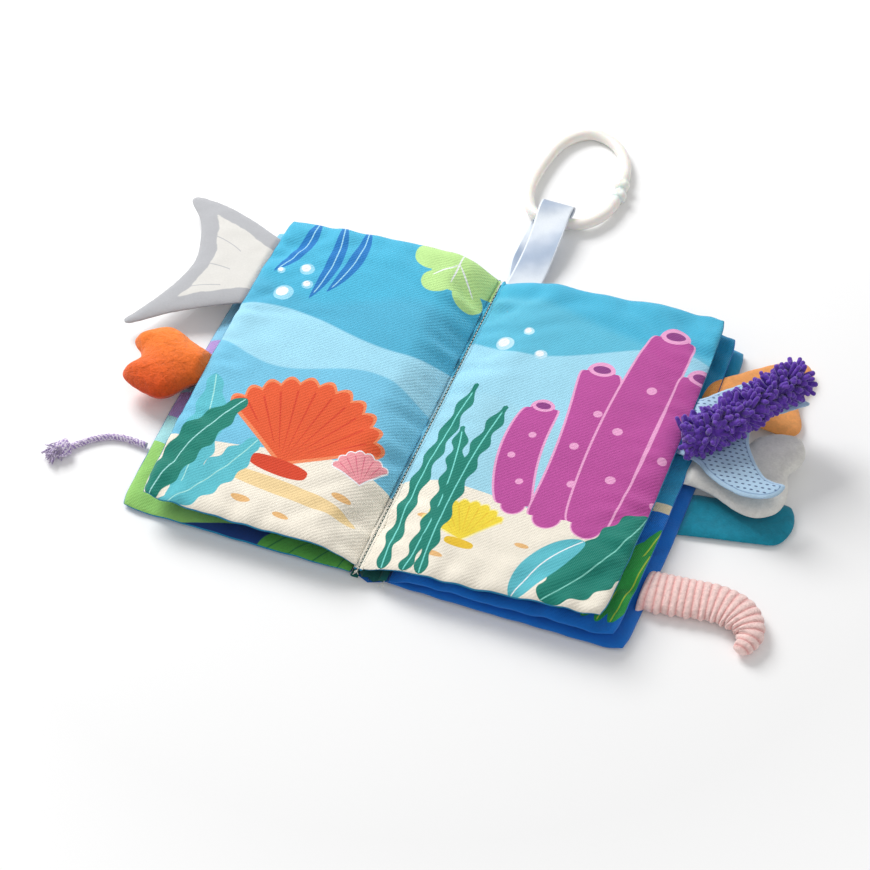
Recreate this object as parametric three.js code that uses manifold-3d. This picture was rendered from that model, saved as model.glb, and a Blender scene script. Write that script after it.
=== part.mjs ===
// Soft cloth activity book, lying open: five padded leaves, eight sewn-on tails, a cord and a link ring.
// Millimetres. +Z up, +Y towards the head of the book, +X towards the right-hand page.
// The origin is on the underside of the spine cloth, below the middle seam, half way along the book.

import * as THREE from 'three';
import { mergeVertices } from 'three/addons/utils/BufferGeometryUtils.js';
import Module from 'manifold-3d';

const wasm = await Module();
wasm.setup();

// Driving dimensions of the leaves
const bookLength = 232;
const pageWidth = 135;
const pageThickness = 6;
const clothThickness = 0.5;
const filmThickness = 0.25;
const layerGap = 0.25;
const seamInset = 5;
const puffReach = 35;
const edgeBow = 2.5;

// Driving dimensions of the spine
const middleSeamHeight = 8.5;
const rearSeamX = 14.6;
const rearSeamHeight = 4;
const frontHingeX = -3;
const spineClothThickness = 0.8;
const threadRadius = 0.3;
const threadTail = 2;
const foldWidth = 0.7;
const foldThickness = 0.7;
const allowanceThickness = 1.4;
const seatGap = 0.3;

// Driving dimensions of the hanging loop and its ring
const ribbonWidth = 20;
const ribbonThickness = 0.7;
const ribbonLength = 62.5;
const ribbonCentreX = 11;
const ringWireRadius = 3.5;
const ringClearance = 0.7;
const ringFoldPlay = 1.2;
const ringSlope = 0.02;
const claspRadius = 4.3;
const ribbonRootZ = 2.6;
const ribbonLift = 0.65;
const groundGap = 0.1;

// Driving dimensions of the tails
const tailCloth = 0.8;
const plushWall = 1.2;
const cordDiameter = 3.8;
const knotRadius = 5;

const halfLength = bookLength / 2;
const seamThickness = 2 * clothThickness + layerGap;
const foldStart = threadRadius + seatGap;
const pageStart = foldStart + foldWidth + seatGap;
const up = new THREE.Vector3(0, 0, 1);

const mix = (a, b, t) => a + (b - a) * t;
const clamp01 = (t) => Math.min(1, Math.max(0, t));
const easeCosine = (t) => 0.5 - 0.5 * Math.cos(Math.PI * clamp01(t));
const easeRise = (t) => clamp01(t) * (1.25 - 0.25 * clamp01(t) ** 2);

const colours = {
  leftPrint: 0x3fb4dc,
  rightPrint: 0x8fd6ee,
  coverPrint: 0x9fd36a,
  blueCloth: 0x0b55b8,
  tealCloth: 0x0f84a8,
  wadding: 0xf2f2ee,
  film: 0xdfe6ea,
  silver: 0xd5d6da,
  orangePlush: 0xf4622a,
  orangeFelt: 0xf0a25c,
  dotted: 0xb7d6ec,
  greyPlush: 0xcfcfce,
  teal: 0x1293ad,
  chenille: 0x5a2fa8,
  pink: 0xf4b9b4,
  satin: 0xbfd0e4,
  ring: 0xf4f3ee,
  cord: 0xb9a3cc,
  thread: 0xe6e2cf,
};

const group = new THREE.Group();

function addMesh(name, geometry, color, roughness = 0.9) {
  const material = new THREE.MeshStandardMaterial({ color, roughness, metalness: 0 });
  const mesh = new THREE.Mesh(geometry, material);
  mesh.name = name;
  group.add(mesh);
  return mesh;
}

function geometryFrom(points, triangles) {
  const geometry = new THREE.BufferGeometry();
  geometry.setAttribute('position', new THREE.Float32BufferAttribute(points.flat(), 3));
  geometry.setIndex(triangles.flat());
  return geometry;
}

function toSolid(geometry) {
  const bare = geometry.clone();
  bare.deleteAttribute('normal');
  bare.deleteAttribute('uv');
  const merged = mergeVertices(bare, 1e-4);
  const vertProperties = new Float32Array(merged.attributes.position.array);
  const triVerts = new Uint32Array(merged.index.array);
  return new wasm.Manifold(new wasm.Mesh({ numProp: 3, vertProperties, triVerts }));
}

function fromSolid(solid) {
  const mesh = solid.getMesh();
  const geometry = new THREE.BufferGeometry();
  geometry.setAttribute('position', new THREE.Float32BufferAttribute(mesh.vertProperties, 3));
  geometry.setIndex(new THREE.Uint32BufferAttribute(mesh.triVerts, 1));
  return geometry;
}

// A closed sheet between two height fields on one grid of columns and rows
function sheetGeometry(columns, rows, placeOf, lowOf, highOf) {
  const points = [];
  const triangles = [];
  const last = columns.length * rows.length;
  for (const heightOf of [lowOf, highOf]) {
    for (const column of columns) {
      for (const row of rows) {
        const [x, y] = placeOf(column, row);
        points.push([x, y, heightOf(column, row)]);
      }
    }
  }
  const at = (i, j) => i * rows.length + j;
  for (let i = 0; i + 1 < columns.length; i += 1) {
    for (let j = 0; j + 1 < rows.length; j += 1) {
      const [a, b, c, d] = [at(i, j), at(i + 1, j), at(i + 1, j + 1), at(i, j + 1)];
      triangles.push([a, c, b], [a, d, c]);
      triangles.push([last + a, last + b, last + c], [last + a, last + c, last + d]);
    }
  }
  const border = [];
  for (let i = 0; i + 1 < columns.length; i += 1) border.push(at(i, 0));
  for (let j = 0; j + 1 < rows.length; j += 1) border.push(at(columns.length - 1, j));
  for (let i = columns.length - 1; i > 0; i -= 1) border.push(at(i, rows.length - 1));
  for (let j = rows.length - 1; j > 0; j -= 1) border.push(at(0, j));
  border.forEach((from, k) => {
    const to = border[(k + 1) % border.length];
    triangles.push([from, to, last + to], [from, last + to, last + from]);
  });
  return geometryFrom(points, triangles);
}

// A fan of triangles from the first corner of a rounded outline
function fanFaces(sides) {
  return Array.from({ length: sides - 2 }, (_, j) => [0, j + 1, j + 2]);
}

// Sections in a row, joined into one closed tube; a loop of sections has no ends
function skinGeometry(sections, isLoop, endFaces = fanFaces(sections[0].length)) {
  const sides = sections[0].length;
  const points = sections.flat();
  const triangles = [];
  const count = isLoop ? sections.length : sections.length - 1;
  for (let i = 0; i < count; i += 1) {
    const next = (i + 1) % sections.length;
    for (let j = 0; j < sides; j += 1) {
      const [a, b] = [i * sides + j, i * sides + ((j + 1) % sides)];
      const [c, d] = [next * sides + ((j + 1) % sides), next * sides + j];
      triangles.push([a, c, b], [a, d, c]);
    }
  }
  if (!isLoop) {
    const lastStart = (sections.length - 1) * sides;
    for (const [a, b, c] of endFaces) {
      triangles.push([a, b, c]);
      triangles.push([lastStart + a, lastStart + c, lastStart + b]);
    }
  }
  return geometryFrom(points, triangles);
}

// An oval section square to a level path, with its width level and its height upright
function ovalSection(centre, tangent, halfWidth, halfHeight, sides) {
  const across = new THREE.Vector3().crossVectors(tangent, up).normalize();
  const section = [];
  for (let j = 0; j < sides; j += 1) {
    const angle = (2 * Math.PI * (j + 0.5)) / sides;
    const point = centre.clone();
    point.addScaledVector(across, halfWidth * Math.cos(angle));
    point.addScaledVector(up, halfHeight * Math.sin(angle));
    section.push(point.toArray());
  }
  return section;
}

// Leaves
// side is -1 for the left-hand stack and 1 for the right-hand one
const leaves = {
  left_page: {
    side: -1, innerX: -pageStart, outerTop: -133, outerFoot: -127, lean: 0,
    innerZ: middleSeamHeight, crestAt: 26, crestTop: 21.5, crestFoot: 17.5, outerZ: 16.8,
    front: colours.leftPrint, back: colours.tealCloth,
  },
  front_cover: {
    side: -1, innerX: frontHingeX - seatGap, outerTop: -143, outerFoot: -140.5, lean: 0,
    liesFlat: true, front: colours.coverPrint, back: colours.blueCloth,
  },
  right_page: {
    side: 1, innerX: pageStart, outerTop: 136, outerFoot: 134, lean: 3.5,
    innerZ: middleSeamHeight, crestAt: 30, crestTop: 16.3, crestFoot: 16.3, outerZ: 20.6,
    front: colours.rightPrint, back: colours.tealCloth,
  },
  inner_page: {
    side: 1, innerX: rearSeamX + foldStart, outerTop: 144, outerFoot: 142, lean: 1,
    innerZ: rearSeamHeight, crestAt: 20, crestTop: 9.5, crestFoot: 9.5, outerZ: 11.2,
    front: colours.coverPrint, back: colours.blueCloth,
  },
  back_cover: {
    side: 1, innerX: rearSeamX, outerTop: 150, outerFoot: 148, lean: 0,
    liesFlat: true, front: colours.blueCloth, back: colours.tealCloth,
  },
};
const coverEdgeLift = 1.8;

const acrossStops = (width) => [
  0, seamInset, 16, 32, 0.46 * pageWidth, 0.72 * pageWidth, width - 16, width - seamInset, width,
];
const alongStops = [0, seamInset, 18, 60, halfLength, bookLength - 60, bookLength - 18,
  bookLength - seamInset, bookLength];

function outerX(leaf, along) {
  const v = along / bookLength;
  return mix(leaf.outerFoot, leaf.outerTop, v) + leaf.side * edgeBow * (1 - (2 * v - 1) ** 2);
}

function leafSurface(leaf) {
  const widthAt = (along) => Math.abs(outerX(leaf, along) - leaf.innerX);
  const acrossAt = (column, along) => acrossStops(widthAt(along))[column];
  const place = (column, row) => {
    const across = acrossAt(column, alongStops[row]);
    const y = alongStops[row] - halfLength + leaf.lean * (across / pageWidth);
    return [leaf.innerX + leaf.side * across, y];
  };
  const thickness = (column, row) => {
    const along = alongStops[row];
    const across = acrossAt(column, along);
    const toEdge = Math.min(across, widthAt(along) - across, along, bookLength - along);
    const puff = 1 - (1 - clamp01(toEdge / puffReach)) ** 2;
    return mix(seamThickness, pageThickness, puff);
  };
  const middle = (column, row) => {
    const along = alongStops[row];
    const across = acrossAt(column, along);
    if (leaf.liesFlat) {
      const atEdge = column === acrossStops(0).length - 1 || row === 0 || row === alongStops.length - 1;
      const lift = atEdge && column > 0 ? coverEdgeLift : 0;
      return lift + thickness(column, row) / 2;
    }
    const crest = mix(leaf.crestFoot, leaf.crestTop, along / bookLength);
    if (across < leaf.crestAt) return mix(leaf.innerZ, crest, easeRise(across / leaf.crestAt));
    return mix(crest, leaf.outerZ, easeCosine((across - leaf.crestAt) / (widthAt(along) - leaf.crestAt)));
  };
  return { place, thickness, middle };
}

function addLeaf(name, leaf) {
  const { place, thickness, middle } = leafSurface(leaf);
  const columns = [...acrossStops(0).keys()];
  const rows = [...alongStops.keys()];
  const innerColumns = columns.slice(1, -1);
  const innerRows = rows.slice(1, -1);
  const fromTop = (depth) => (i, j) => middle(i, j) + thickness(i, j) / 2 - depth;
  const fromBottom = (depth) => (i, j) => middle(i, j) - thickness(i, j) / 2 + depth;
  const filmTop = clothThickness + layerGap;
  const waddingTop = filmTop + filmThickness + layerGap;
  const waddingBottom = clothThickness + layerGap;
  const front = sheetGeometry(columns, rows, place, fromTop(clothThickness), fromTop(0));
  const back = sheetGeometry(columns, rows, place, fromBottom(0), fromBottom(clothThickness));
  const filmBottom = filmTop + filmThickness;
  const innerSheet = (low, high) => sheetGeometry(innerColumns, innerRows, place, low, high);
  const film = innerSheet(fromTop(filmBottom), fromTop(filmTop));
  const wadding = innerSheet(fromBottom(waddingBottom), fromTop(waddingTop));
  const pieces = [['front_cloth', front, leaf.front], ['back_cloth', back, leaf.back],
    ['crinkle_film', film, colours.film], ['wadding', wadding, colours.wadding]];
  for (const [layer, geometry, color] of pieces) {
    if (leaf.side < 0) geometry.index.array.reverse();
    addMesh(`${name}_${layer}`, geometry, color);
  }
}

// Spine: a strip of cover cloth, the folded seam edges that stand on it, and the seam threads
function alongBook(outline, from, to) {
  const shape = new THREE.Shape(outline.map(([x, z]) => new THREE.Vector2(x, z)));
  const geometry = new THREE.ExtrudeGeometry(shape, { depth: to - from, bevelEnabled: false });
  geometry.rotateX(Math.PI / 2);
  geometry.translate(0, to, 0);
  return geometry;
}

function circleOutline(x, z, radius, sides) {
  const outline = [];
  for (let j = 0; j < sides; j += 1) {
    const angle = (2 * Math.PI * j) / sides;
    outline.push([x + radius * Math.cos(angle), z + radius * Math.sin(angle)]);
  }
  return outline;
}

function rectangleOutline(x0, x1, z0, z1) {
  return [[x0, z0], [x1, z0], [x1, z1], [x0, z1]];
}

function addSpine() {
  const left = frontHingeX + seatGap;
  const right = rearSeamX - seatGap;
  const coreFloor = spineClothThickness + seatGap;
  const coreTop = middleSeamHeight - foldThickness / 2 - seatGap;
  const rearTop = rearSeamHeight - threadRadius - seatGap;
  const bed = coreFloor + allowanceThickness;
  const core = [[-allowanceThickness, coreFloor], [right, coreFloor], [right, rearTop],
    [right - allowanceThickness, rearTop], [2 * allowanceThickness, bed],
    [clothThickness, coreTop], [-clothThickness, coreTop], [-allowanceThickness, bed]];
  const strip = alongBook(rectangleOutline(left, right, 0, spineClothThickness), -halfLength, halfLength);
  addMesh('spine_cloth', strip, colours.blueCloth);
  addMesh('spine_seam_allowance', alongBook(core, -halfLength, halfLength), colours.tealCloth);
  const middleThread = circleOutline(0, middleSeamHeight, threadRadius, 6);
  const rearThread = circleOutline(rearSeamX, rearSeamHeight, threadRadius, 6);
  const threadFoot = -halfLength - threadTail;
  addMesh('middle_seam_thread', alongBook(middleThread, threadFoot, halfLength), colours.thread, 0.7);
  addMesh('rear_seam_thread', alongBook(rearThread, threadFoot, halfLength), colours.thread, 0.7);
  for (const [name, side] of [['left_page_fold', -1], ['right_page_fold', 1]]) {
    const ends = [side * foldStart, side * (foldStart + foldWidth)].sort((a, b) => a - b);
    const half = foldThickness / 2;
    const fold = rectangleOutline(ends[0], ends[1], middleSeamHeight - half, middleSeamHeight + half);
    addMesh(name, alongBook(fold, -halfLength, halfLength), colours.leftPrint);
  }
}

// Where a tail's root meets the outer edge of its leaf
function rootX(leaf, y) {
  const along = y + halfLength - leaf.lean;
  const stop = alongStops.findIndex((s) => s >= along);
  const [low, high] = [alongStops[stop - 1], alongStops[stop]];
  const edge = mix(outerX(leaf, low), outerX(leaf, high), (along - low) / (high - low));
  return edge + leaf.side * seatGap;
}

function rootZ(leaf) {
  return leaf.liesFlat ? coverEdgeLift + seamThickness / 2 : leaf.outerZ;
}

// Flat tails: two cloth faces with a thin sheet of wadding between them
// strokes run from the root's head end round to its foot end; tips lie where strokes meet
function strokePoints(strokes, steps) {
  const points = [];
  for (const stroke of strokes) {
    const curve = new THREE.SplineCurve(stroke.map(([x, y]) => new THREE.Vector2(x, y)));
    points.push(...curve.getPoints(steps).slice(0, -1));
  }
  return points;
}

function plateGeometry(outline, heightOf, low, high) {
  const faces = THREE.ShapeUtils.triangulateShape(outline, []);
  const count = outline.length;
  const points = [];
  for (const offset of [low, high]) {
    for (const point of outline) points.push([point.x, point.y, heightOf(point) + offset]);
  }
  const triangles = [];
  for (const [a, b, c] of faces) {
    triangles.push([a, c, b], [count + a, count + b, count + c]);
  }
  for (let i = 0; i < count; i += 1) {
    const next = (i + 1) % count;
    triangles.push([i, next, count + next], [i, count + next, count + i]);
  }
  return geometryFrom(points, triangles);
}

const flatTails = {
  forked_fin: {
    leaf: leaves.left_page, head: 94, foot: 39, slope: -0.1, filling: 1.6, color: colours.silver,
    strokes: [
      [[-156, 108], [-175, 114.5], [-197.5, 117]],
      [[-197.5, 117], [-187, 101], [-178, 82], [-173, 64], [-179, 40], [-192.5, 10]],
      [[-192.5, 10], [-175, 19], [-152, 31]],
    ],
  },
  dotted_fluke: {
    leaf: leaves.right_page, head: 55, foot: 12, slope: 0.1, filling: 1.2, color: colours.dotted,
    drop: 1.6,
    strokes: [
      [[150, 67], [161, 74.5], [180, 72], [197, 67]],
      [[197, 67], [184, 57], [171.5, 45], [170.5, 33], [177, 19], [187, 7], [199, 4.5]],
      [[199, 4.5], [196, -3.5], [188, -8], [177, -8.5], [166, -4.5], [156, 1.5], [149, 8]],
    ],
  },
  felt_fish_tail: {
    leaf: leaves.inner_page, head: 84, foot: 58, slope: -0.17, filling: 1.2, color: colours.orangeFelt,
    strokes: [
      [[157, 96], [172, 110], [184, 114.5], [190, 105]],
      [[190, 105], [186, 87], [193, 68]],
      [[193, 68], [188, 58.5], [172, 57]],
    ],
  },
  velour_flipper: {
    leaf: leaves.back_cover, head: 0, foot: -32, slope: 0, filling: 1.8, color: colours.teal,
    strokes: [
      [[170, 5], [199, 12.5], [206, 8]],
      [[206, 8], [208.5, -6], [202, -19]],
      [[202, -19], [185, -24], [168, -29]],
    ],
  },
};
const waddingShrinkAcross = 0.86;
const waddingShrinkAlong = 0.8;

function addFlatTail(name, tail) {
  const [rootHead, rootFoot] = [rootX(tail.leaf, tail.head), rootX(tail.leaf, tail.foot)];
  const strokes = tail.strokes.map((stroke) => [...stroke]);
  strokes[0].unshift([rootHead, tail.head]);
  strokes[strokes.length - 1].push([rootFoot, tail.foot]);
  const outline = strokePoints(strokes, 8);
  outline.push(new THREE.Vector2(rootFoot, tail.foot));
  if (THREE.ShapeUtils.isClockWise(outline)) outline.reverse();
  const middleY = (tail.head + tail.foot) / 2;
  const middleX = (rootHead + rootFoot) / 2;
  const inset = outline.map((point) => new THREE.Vector2(
    mix(middleX + tail.leaf.side * seatGap, point.x, waddingShrinkAcross),
    mix(middleY, point.y, waddingShrinkAlong),
  ));
  const base = rootZ(tail.leaf) - (tail.drop ?? 0);
  const heightOf = (point) => base + tail.slope * Math.abs(point.x - middleX);
  const half = tail.filling / 2;
  const inner = half + layerGap;
  const outer = inner + tailCloth;
  addMesh(`${name}_front_cloth`, plateGeometry(outline, heightOf, inner, outer), tail.color);
  addMesh(`${name}_back_cloth`, plateGeometry(outline, heightOf, -outer, -inner), tail.color);
  addMesh(`${name}_wadding`, plateGeometry(inset, heightOf, -half, half), colours.wadding);
}

// Plush tails: a pillow on a rounded outline, as a cover with its mouth at the root, and its filling
function pillowSolid({ outline, centreZ, halfHeight }, shrink) {
  const curve = new THREE.CatmullRomCurve3(outline.map(([x, y]) => new THREE.Vector3(x, y, 0)), true);
  const rim = curve.getPoints(pillowRimSteps).slice(0, -1);
  if (!THREE.ShapeUtils.isClockWise(rim)) rim.reverse();
  const centre = rim.reduce((sum, point) => sum.add(point), new THREE.Vector3()).divideScalar(rim.length);
  const sections = [];
  for (let level = -pillowLevels; level <= pillowLevels; level += 1) {
    const angle = (level / pillowLevels) * pillowTopAngle;
    const height = centreZ + (halfHeight - shrink) * Math.sin(angle);
    sections.push(rim.map((point) => {
      const reach = point.distanceTo(centre);
      const share = ((reach - shrink) / reach) * Math.sqrt(Math.cos(angle));
      return [mix(centre.x, point.x, share), mix(centre.y, point.y, share), height];
    }));
  }
  // the end faces go round the notch, which a fan would cross
  const notched = THREE.ShapeUtils.triangulateShape(rim, []).map(([a, b, c]) => [a, c, b]);
  return toSolid(skinGeometry(sections, false, notched));
}

function halfSpace(fromX, side) {
  const size = 400;
  const box = new THREE.BoxGeometry(size, size, size);
  box.translate(fromX + (side * size) / 2, 0, 0);
  return toSolid(box);
}

function addPlush(name, leaf, root, shapeOf, color) {
  const reach = [-root.half, 0, root.half].map((step) => leaf.side * rootX(leaf, root.y + step));
  const mouth = leaf.side * Math.max(...reach);
  const outer = shapeOf(0).intersect(halfSpace(mouth, leaf.side));
  const cover = outer.subtract(shapeOf(plushWall));
  const inside = halfSpace(mouth + leaf.side * seatGap, leaf.side);
  const filled = shapeOf(plushWall + layerGap).intersect(inside);
  addMesh(`${name}_cover`, fromSolid(cover), color);
  addMesh(`${name}_filling`, fromSolid(filled), colours.wadding);
}

const pillowRimSteps = 28;
const pillowLevels = 3;
const pillowTopAngle = 1.4;
const clawRoot = { y: -14, half: 11 };
const claw = {
  centreZ: 14.5, halfHeight: 10,
  outline: [[-124, -5], [-137, 2.5], [-148.5, 6.8], [-160, 8], [-170, 5.5], [-178.5, -4],
    [-176.5, -11], [-169, -17], [-172.5, -24], [-174.5, -32], [-168.5, -40], [-157, -44.2],
    [-146, -45.5], [-137.5, -40], [-132.5, -30], [-124, -23]],
};
const flukeRoot = { y: 12, half: 11 };
const fluke = {
  centreZ: 10.7, halfHeight: 4,
  outline: [[138, 24], [158, 28.5], [168, 36], [174, 46], [184, 52], [195, 52.5], [201, 43],
    [200.5, 33], [196, 24.5], [198.5, 15], [199.5, 6], [196.5, -4], [187, -10.5], [176, -9.5],
    [158, -2], [138, 0]],
};

// Long stuffed tails: an oval section that swells and tapers along a level route
const thinnestFilling = 0.6;

function taperedSolid(route, widths, heights, sides, shrink, extension) {
  const points = route.map(([x, y, z]) => new THREE.Vector3(x, y, z));
  const lead = new THREE.Vector3().subVectors(points[0], points[1]).normalize();
  points[0].addScaledVector(lead, extension);
  const curve = new THREE.CatmullRomCurve3(points);
  const sections = [];
  const steps = widths.length - 1;
  for (let i = 0; i <= steps; i += 1) {
    const t = i / steps;
    const inward = i === steps ? shrink : 0;
    const centre = curve.getPointAt(t).addScaledVector(curve.getTangentAt(t), -inward);
    const tangent = i === 0 ? new THREE.Vector3(1, 0, 0) : curve.getTangentAt(t);
    const halfWidth = Math.max(widths[i] - shrink, thinnestFilling);
    const halfHeight = Math.max(heights[i] - shrink, thinnestFilling);
    sections.push(ovalSection(centre, tangent, halfWidth, halfHeight, sides));
  }
  return toSolid(skinGeometry(sections, false));
}

const armRoot = [rootX(leaves.right_page, 18), 18, 25.6];
const armRoute = [armRoot, [148, 21, 29], [158, 30, 35], [169, 45, 36.8], [180, 60, 38], [189, 73, 38.5]];
const armWidths = [20, 18.5, 15.5, 14, 13.2, 13, 12.6, 11, 6];
const armHeights = [3.4, 6.4, 9.6, 11.2, 11.4, 11.4, 11, 9.5, 5];

const curlRoot = [rootX(leaves.back_cover, -73), -73, 4.8];
const curlRoute = [
  curlRoot, [168, -71, 5], [184, -69.5, 5.2], [197, -73, 5.2], [205, -83, 5], [202.5, -96, 4.6],
];
const curlWidths = [13.5, 13, 12.6, 12.3, 12, 11.5, 10.5, 9, 6, 2.5];
const curlHeights = [3.6, 4.4, 4.6, 4.7, 4.7, 4.6, 4.4, 4.1, 3.4, 1.6];

function addLongTail(name, leaf, rootY, route, widths, heights, color) {
  const overlap = 2;
  const shapeOf = (shrink) => taperedSolid(route, widths, heights, 12, shrink, overlap);
  addPlush(name, leaf, { y: rootY, half: widths[0] }, shapeOf, color);
}

// Cord on the front cover, with a knot at its free end
const cordRadius = cordDiameter / 2;
const cordRoute = [
  [rootX(leaves.front_cover, -70), -70, 2.6],
  [-149, -69.4, 2.5], [-154, -69, 2.3], [-160, -69.2, 2.1], [-166, -70.8, 2], [-171, -73.6, 2],
  [-175.5, -77.2, 2], [-179.5, -81.4, 2.1], [-183, -86, 2.6],
];

function addCord() {
  const curve = new THREE.CatmullRomCurve3(cordRoute.map(([x, y, z]) => new THREE.Vector3(x, y, z)));
  const outline = circleOutline(0, 0, cordRadius, 8);
  const section = new THREE.Shape(outline.map(([x, y]) => new THREE.Vector2(x, y)));
  const tube = new THREE.ExtrudeGeometry(section, { steps: 10, extrudePath: curve, bevelEnabled: false });
  addMesh('cord', tube, colours.cord);
  const knot = new THREE.SphereGeometry(1, 12, 8);
  knot.rotateX(Math.PI / 2);
  knot.scale(knotRadius * 1.5, knotRadius * 1.1, knotRadius * 0.9);
  knot.rotateZ(0.75);
  const end = curve.getPointAt(1);
  const reach = knotRadius * 1.5 + seatGap;
  const heading = curve.getTangentAt(1).setZ(0).normalize();
  knot.translate(end.x + heading.x * reach, end.y + heading.y * reach, knotRadius * 0.9 + groundGap);
  addMesh('cord_knot', knot, colours.cord);
}

// Hanging loop of ribbon, folded round the near side of the ring
const ribbonRootY = halfLength + seatGap;
const ringNearY = ribbonRootY + ribbonLength - ringFoldPlay;
const ringNearZ = ringWireRadius + ringClearance + ribbonThickness + ribbonLift;

function addRibbon() {
  const openHalf = ringWireRadius + ringClearance;
  const stations = [0, 6, 16, 28, 42, 54];
  const halfAt = (s) => openHalf * Math.sin((Math.PI / 2) * clamp01(s / 50));
  const middleAt = (s) => mix(ribbonRootZ, ringNearZ, easeCosine(s / 50));
  const arcSteps = 8;
  const outlineAt = (offset, first) => {
    const outline = [];
    for (const s of stations.slice(first)) outline.push([s, middleAt(s) - halfAt(s) - offset]);
    for (let k = 0; k <= arcSteps; k += 1) {
      const angle = -Math.PI / 2 + (Math.PI * k) / arcSteps;
      const radius = openHalf + offset;
      outline.push([ribbonLength + radius * Math.cos(angle), ringNearZ + radius * Math.sin(angle)]);
    }
    for (const s of stations.slice(first).reverse()) outline.push([s, middleAt(s) + halfAt(s) + offset]);
    return outline.map(([y, z]) => new THREE.Vector2(y, z));
  };
  const shape = new THREE.Shape(outlineAt(ribbonThickness, 0));
  shape.holes.push(new THREE.Path(outlineAt(0, 1)));
  const loop = new THREE.ExtrudeGeometry(shape, { depth: ribbonWidth, bevelEnabled: false });
  // Shape axes (y, z) and the extrusion become the world's Y, Z and X
  loop.applyMatrix4(new THREE.Matrix4().set(0, 0, 1, 0, 1, 0, 0, 0, 0, 1, 0, 0, 0, 0, 0, 1));
  loop.translate(ribbonCentreX - ribbonWidth / 2, ribbonRootY, 0);
  addMesh('ribbon_loop', loop, colours.satin, 0.45);
}

// Ring route, from the clasp once round to the clasp: offsets from the middle of its near side
const ringRoute = [
  [29, 44.2], [26, 62], [17, 77], [4, 84.5], [-8, 82], [-18, 68], [-22.5, 45], [-22.5, 22],
  [-17, 6.5], [-9, 0.4], [0, 0], [9, 0.4], [19, 4.5], [27, 17], [30, 34.9],
];

function addRing() {
  const points = ringRoute.map(([x, y]) => new THREE.Vector3(
    ribbonCentreX + x, ringNearY + y, ringNearZ - ringSlope * y,
  ));
  const curve = new THREE.CatmullRomCurve3(points);
  const steps = 36;
  const sections = [];
  for (let i = 0; i <= steps; i += 1) {
    const tangent = curve.getTangentAt(i / steps);
    sections.push(ovalSection(curve.getPointAt(i / steps), tangent, ringWireRadius, ringWireRadius, 8));
  }
  let ring = toSolid(skinGeometry(sections, false));
  for (const end of [points[0], points[points.length - 1]]) {
    const ball = new THREE.SphereGeometry(claspRadius, 8, 6);
    ball.translate(end.x, end.y, claspRadius + groundGap);
    ring = ring.add(toSolid(ball));
  }
  addMesh('link_ring', fromSolid(ring), colours.ring, 0.35);
}

for (const [name, leaf] of Object.entries(leaves)) addLeaf(name, leaf);
addSpine();
for (const [name, tail] of Object.entries(flatTails)) addFlatTail(name, tail);
const clawShape = (shrink) => pillowSolid(claw, shrink);
const flukeShape = (shrink) => pillowSolid(fluke, shrink);
addPlush('plush_claw', leaves.left_page, clawRoot, clawShape, colours.orangePlush);
addPlush('grey_fluke', leaves.inner_page, flukeRoot, flukeShape, colours.greyPlush);
addLongTail('chenille_arm', leaves.right_page, 18, armRoute, armWidths, armHeights, colours.chenille);
addLongTail('corduroy_curl', leaves.back_cover, -73, curlRoute, curlWidths, curlHeights, colours.pink);
addCord();
addRibbon();
addRing();

export default group;
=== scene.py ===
import bpy
import bmesh
import math
import random
from mathutils import Matrix, Vector, noise
from mathutils.kdtree import KDTree


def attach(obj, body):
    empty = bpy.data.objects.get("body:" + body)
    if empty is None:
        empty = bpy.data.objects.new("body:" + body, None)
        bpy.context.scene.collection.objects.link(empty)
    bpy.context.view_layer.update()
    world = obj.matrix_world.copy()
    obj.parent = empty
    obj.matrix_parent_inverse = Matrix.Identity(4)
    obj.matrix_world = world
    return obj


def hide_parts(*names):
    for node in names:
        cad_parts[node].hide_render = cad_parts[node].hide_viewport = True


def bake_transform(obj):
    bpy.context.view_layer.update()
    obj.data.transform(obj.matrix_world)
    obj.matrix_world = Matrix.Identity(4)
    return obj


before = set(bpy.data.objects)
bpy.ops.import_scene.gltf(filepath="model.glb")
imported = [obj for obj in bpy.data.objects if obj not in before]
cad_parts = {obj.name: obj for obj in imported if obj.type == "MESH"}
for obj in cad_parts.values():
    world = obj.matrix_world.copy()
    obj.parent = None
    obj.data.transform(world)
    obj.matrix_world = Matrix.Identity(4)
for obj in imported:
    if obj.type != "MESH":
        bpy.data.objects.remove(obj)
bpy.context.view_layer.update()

bl_info = {
    "name": "Cloth Activity Book",
    "version": (1, 0, 0),
    "blender": (4, 5, 0),
    "location": "View3D > Sidebar > Cloth Book",
    "description": "A cloth activity book: printed padded leaves, sewn-on tails, cord, ribbon and ring",
    "category": "Add Mesh",
}

MM = 0.001
UP = Vector((0, 0, 1))

# Sizes of the leaves, in millimetres, as the leaves' construction has them
BOOK_LENGTH = 232
HALF_LENGTH = BOOK_LENGTH / 2
PAGE_WIDTH = 135
EDGE_BOW = 2.5
SEAM_HEIGHT = 8.5
REAR_SEAM = (14.6, 4.0)
PAGE_START = 0.5

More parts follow.
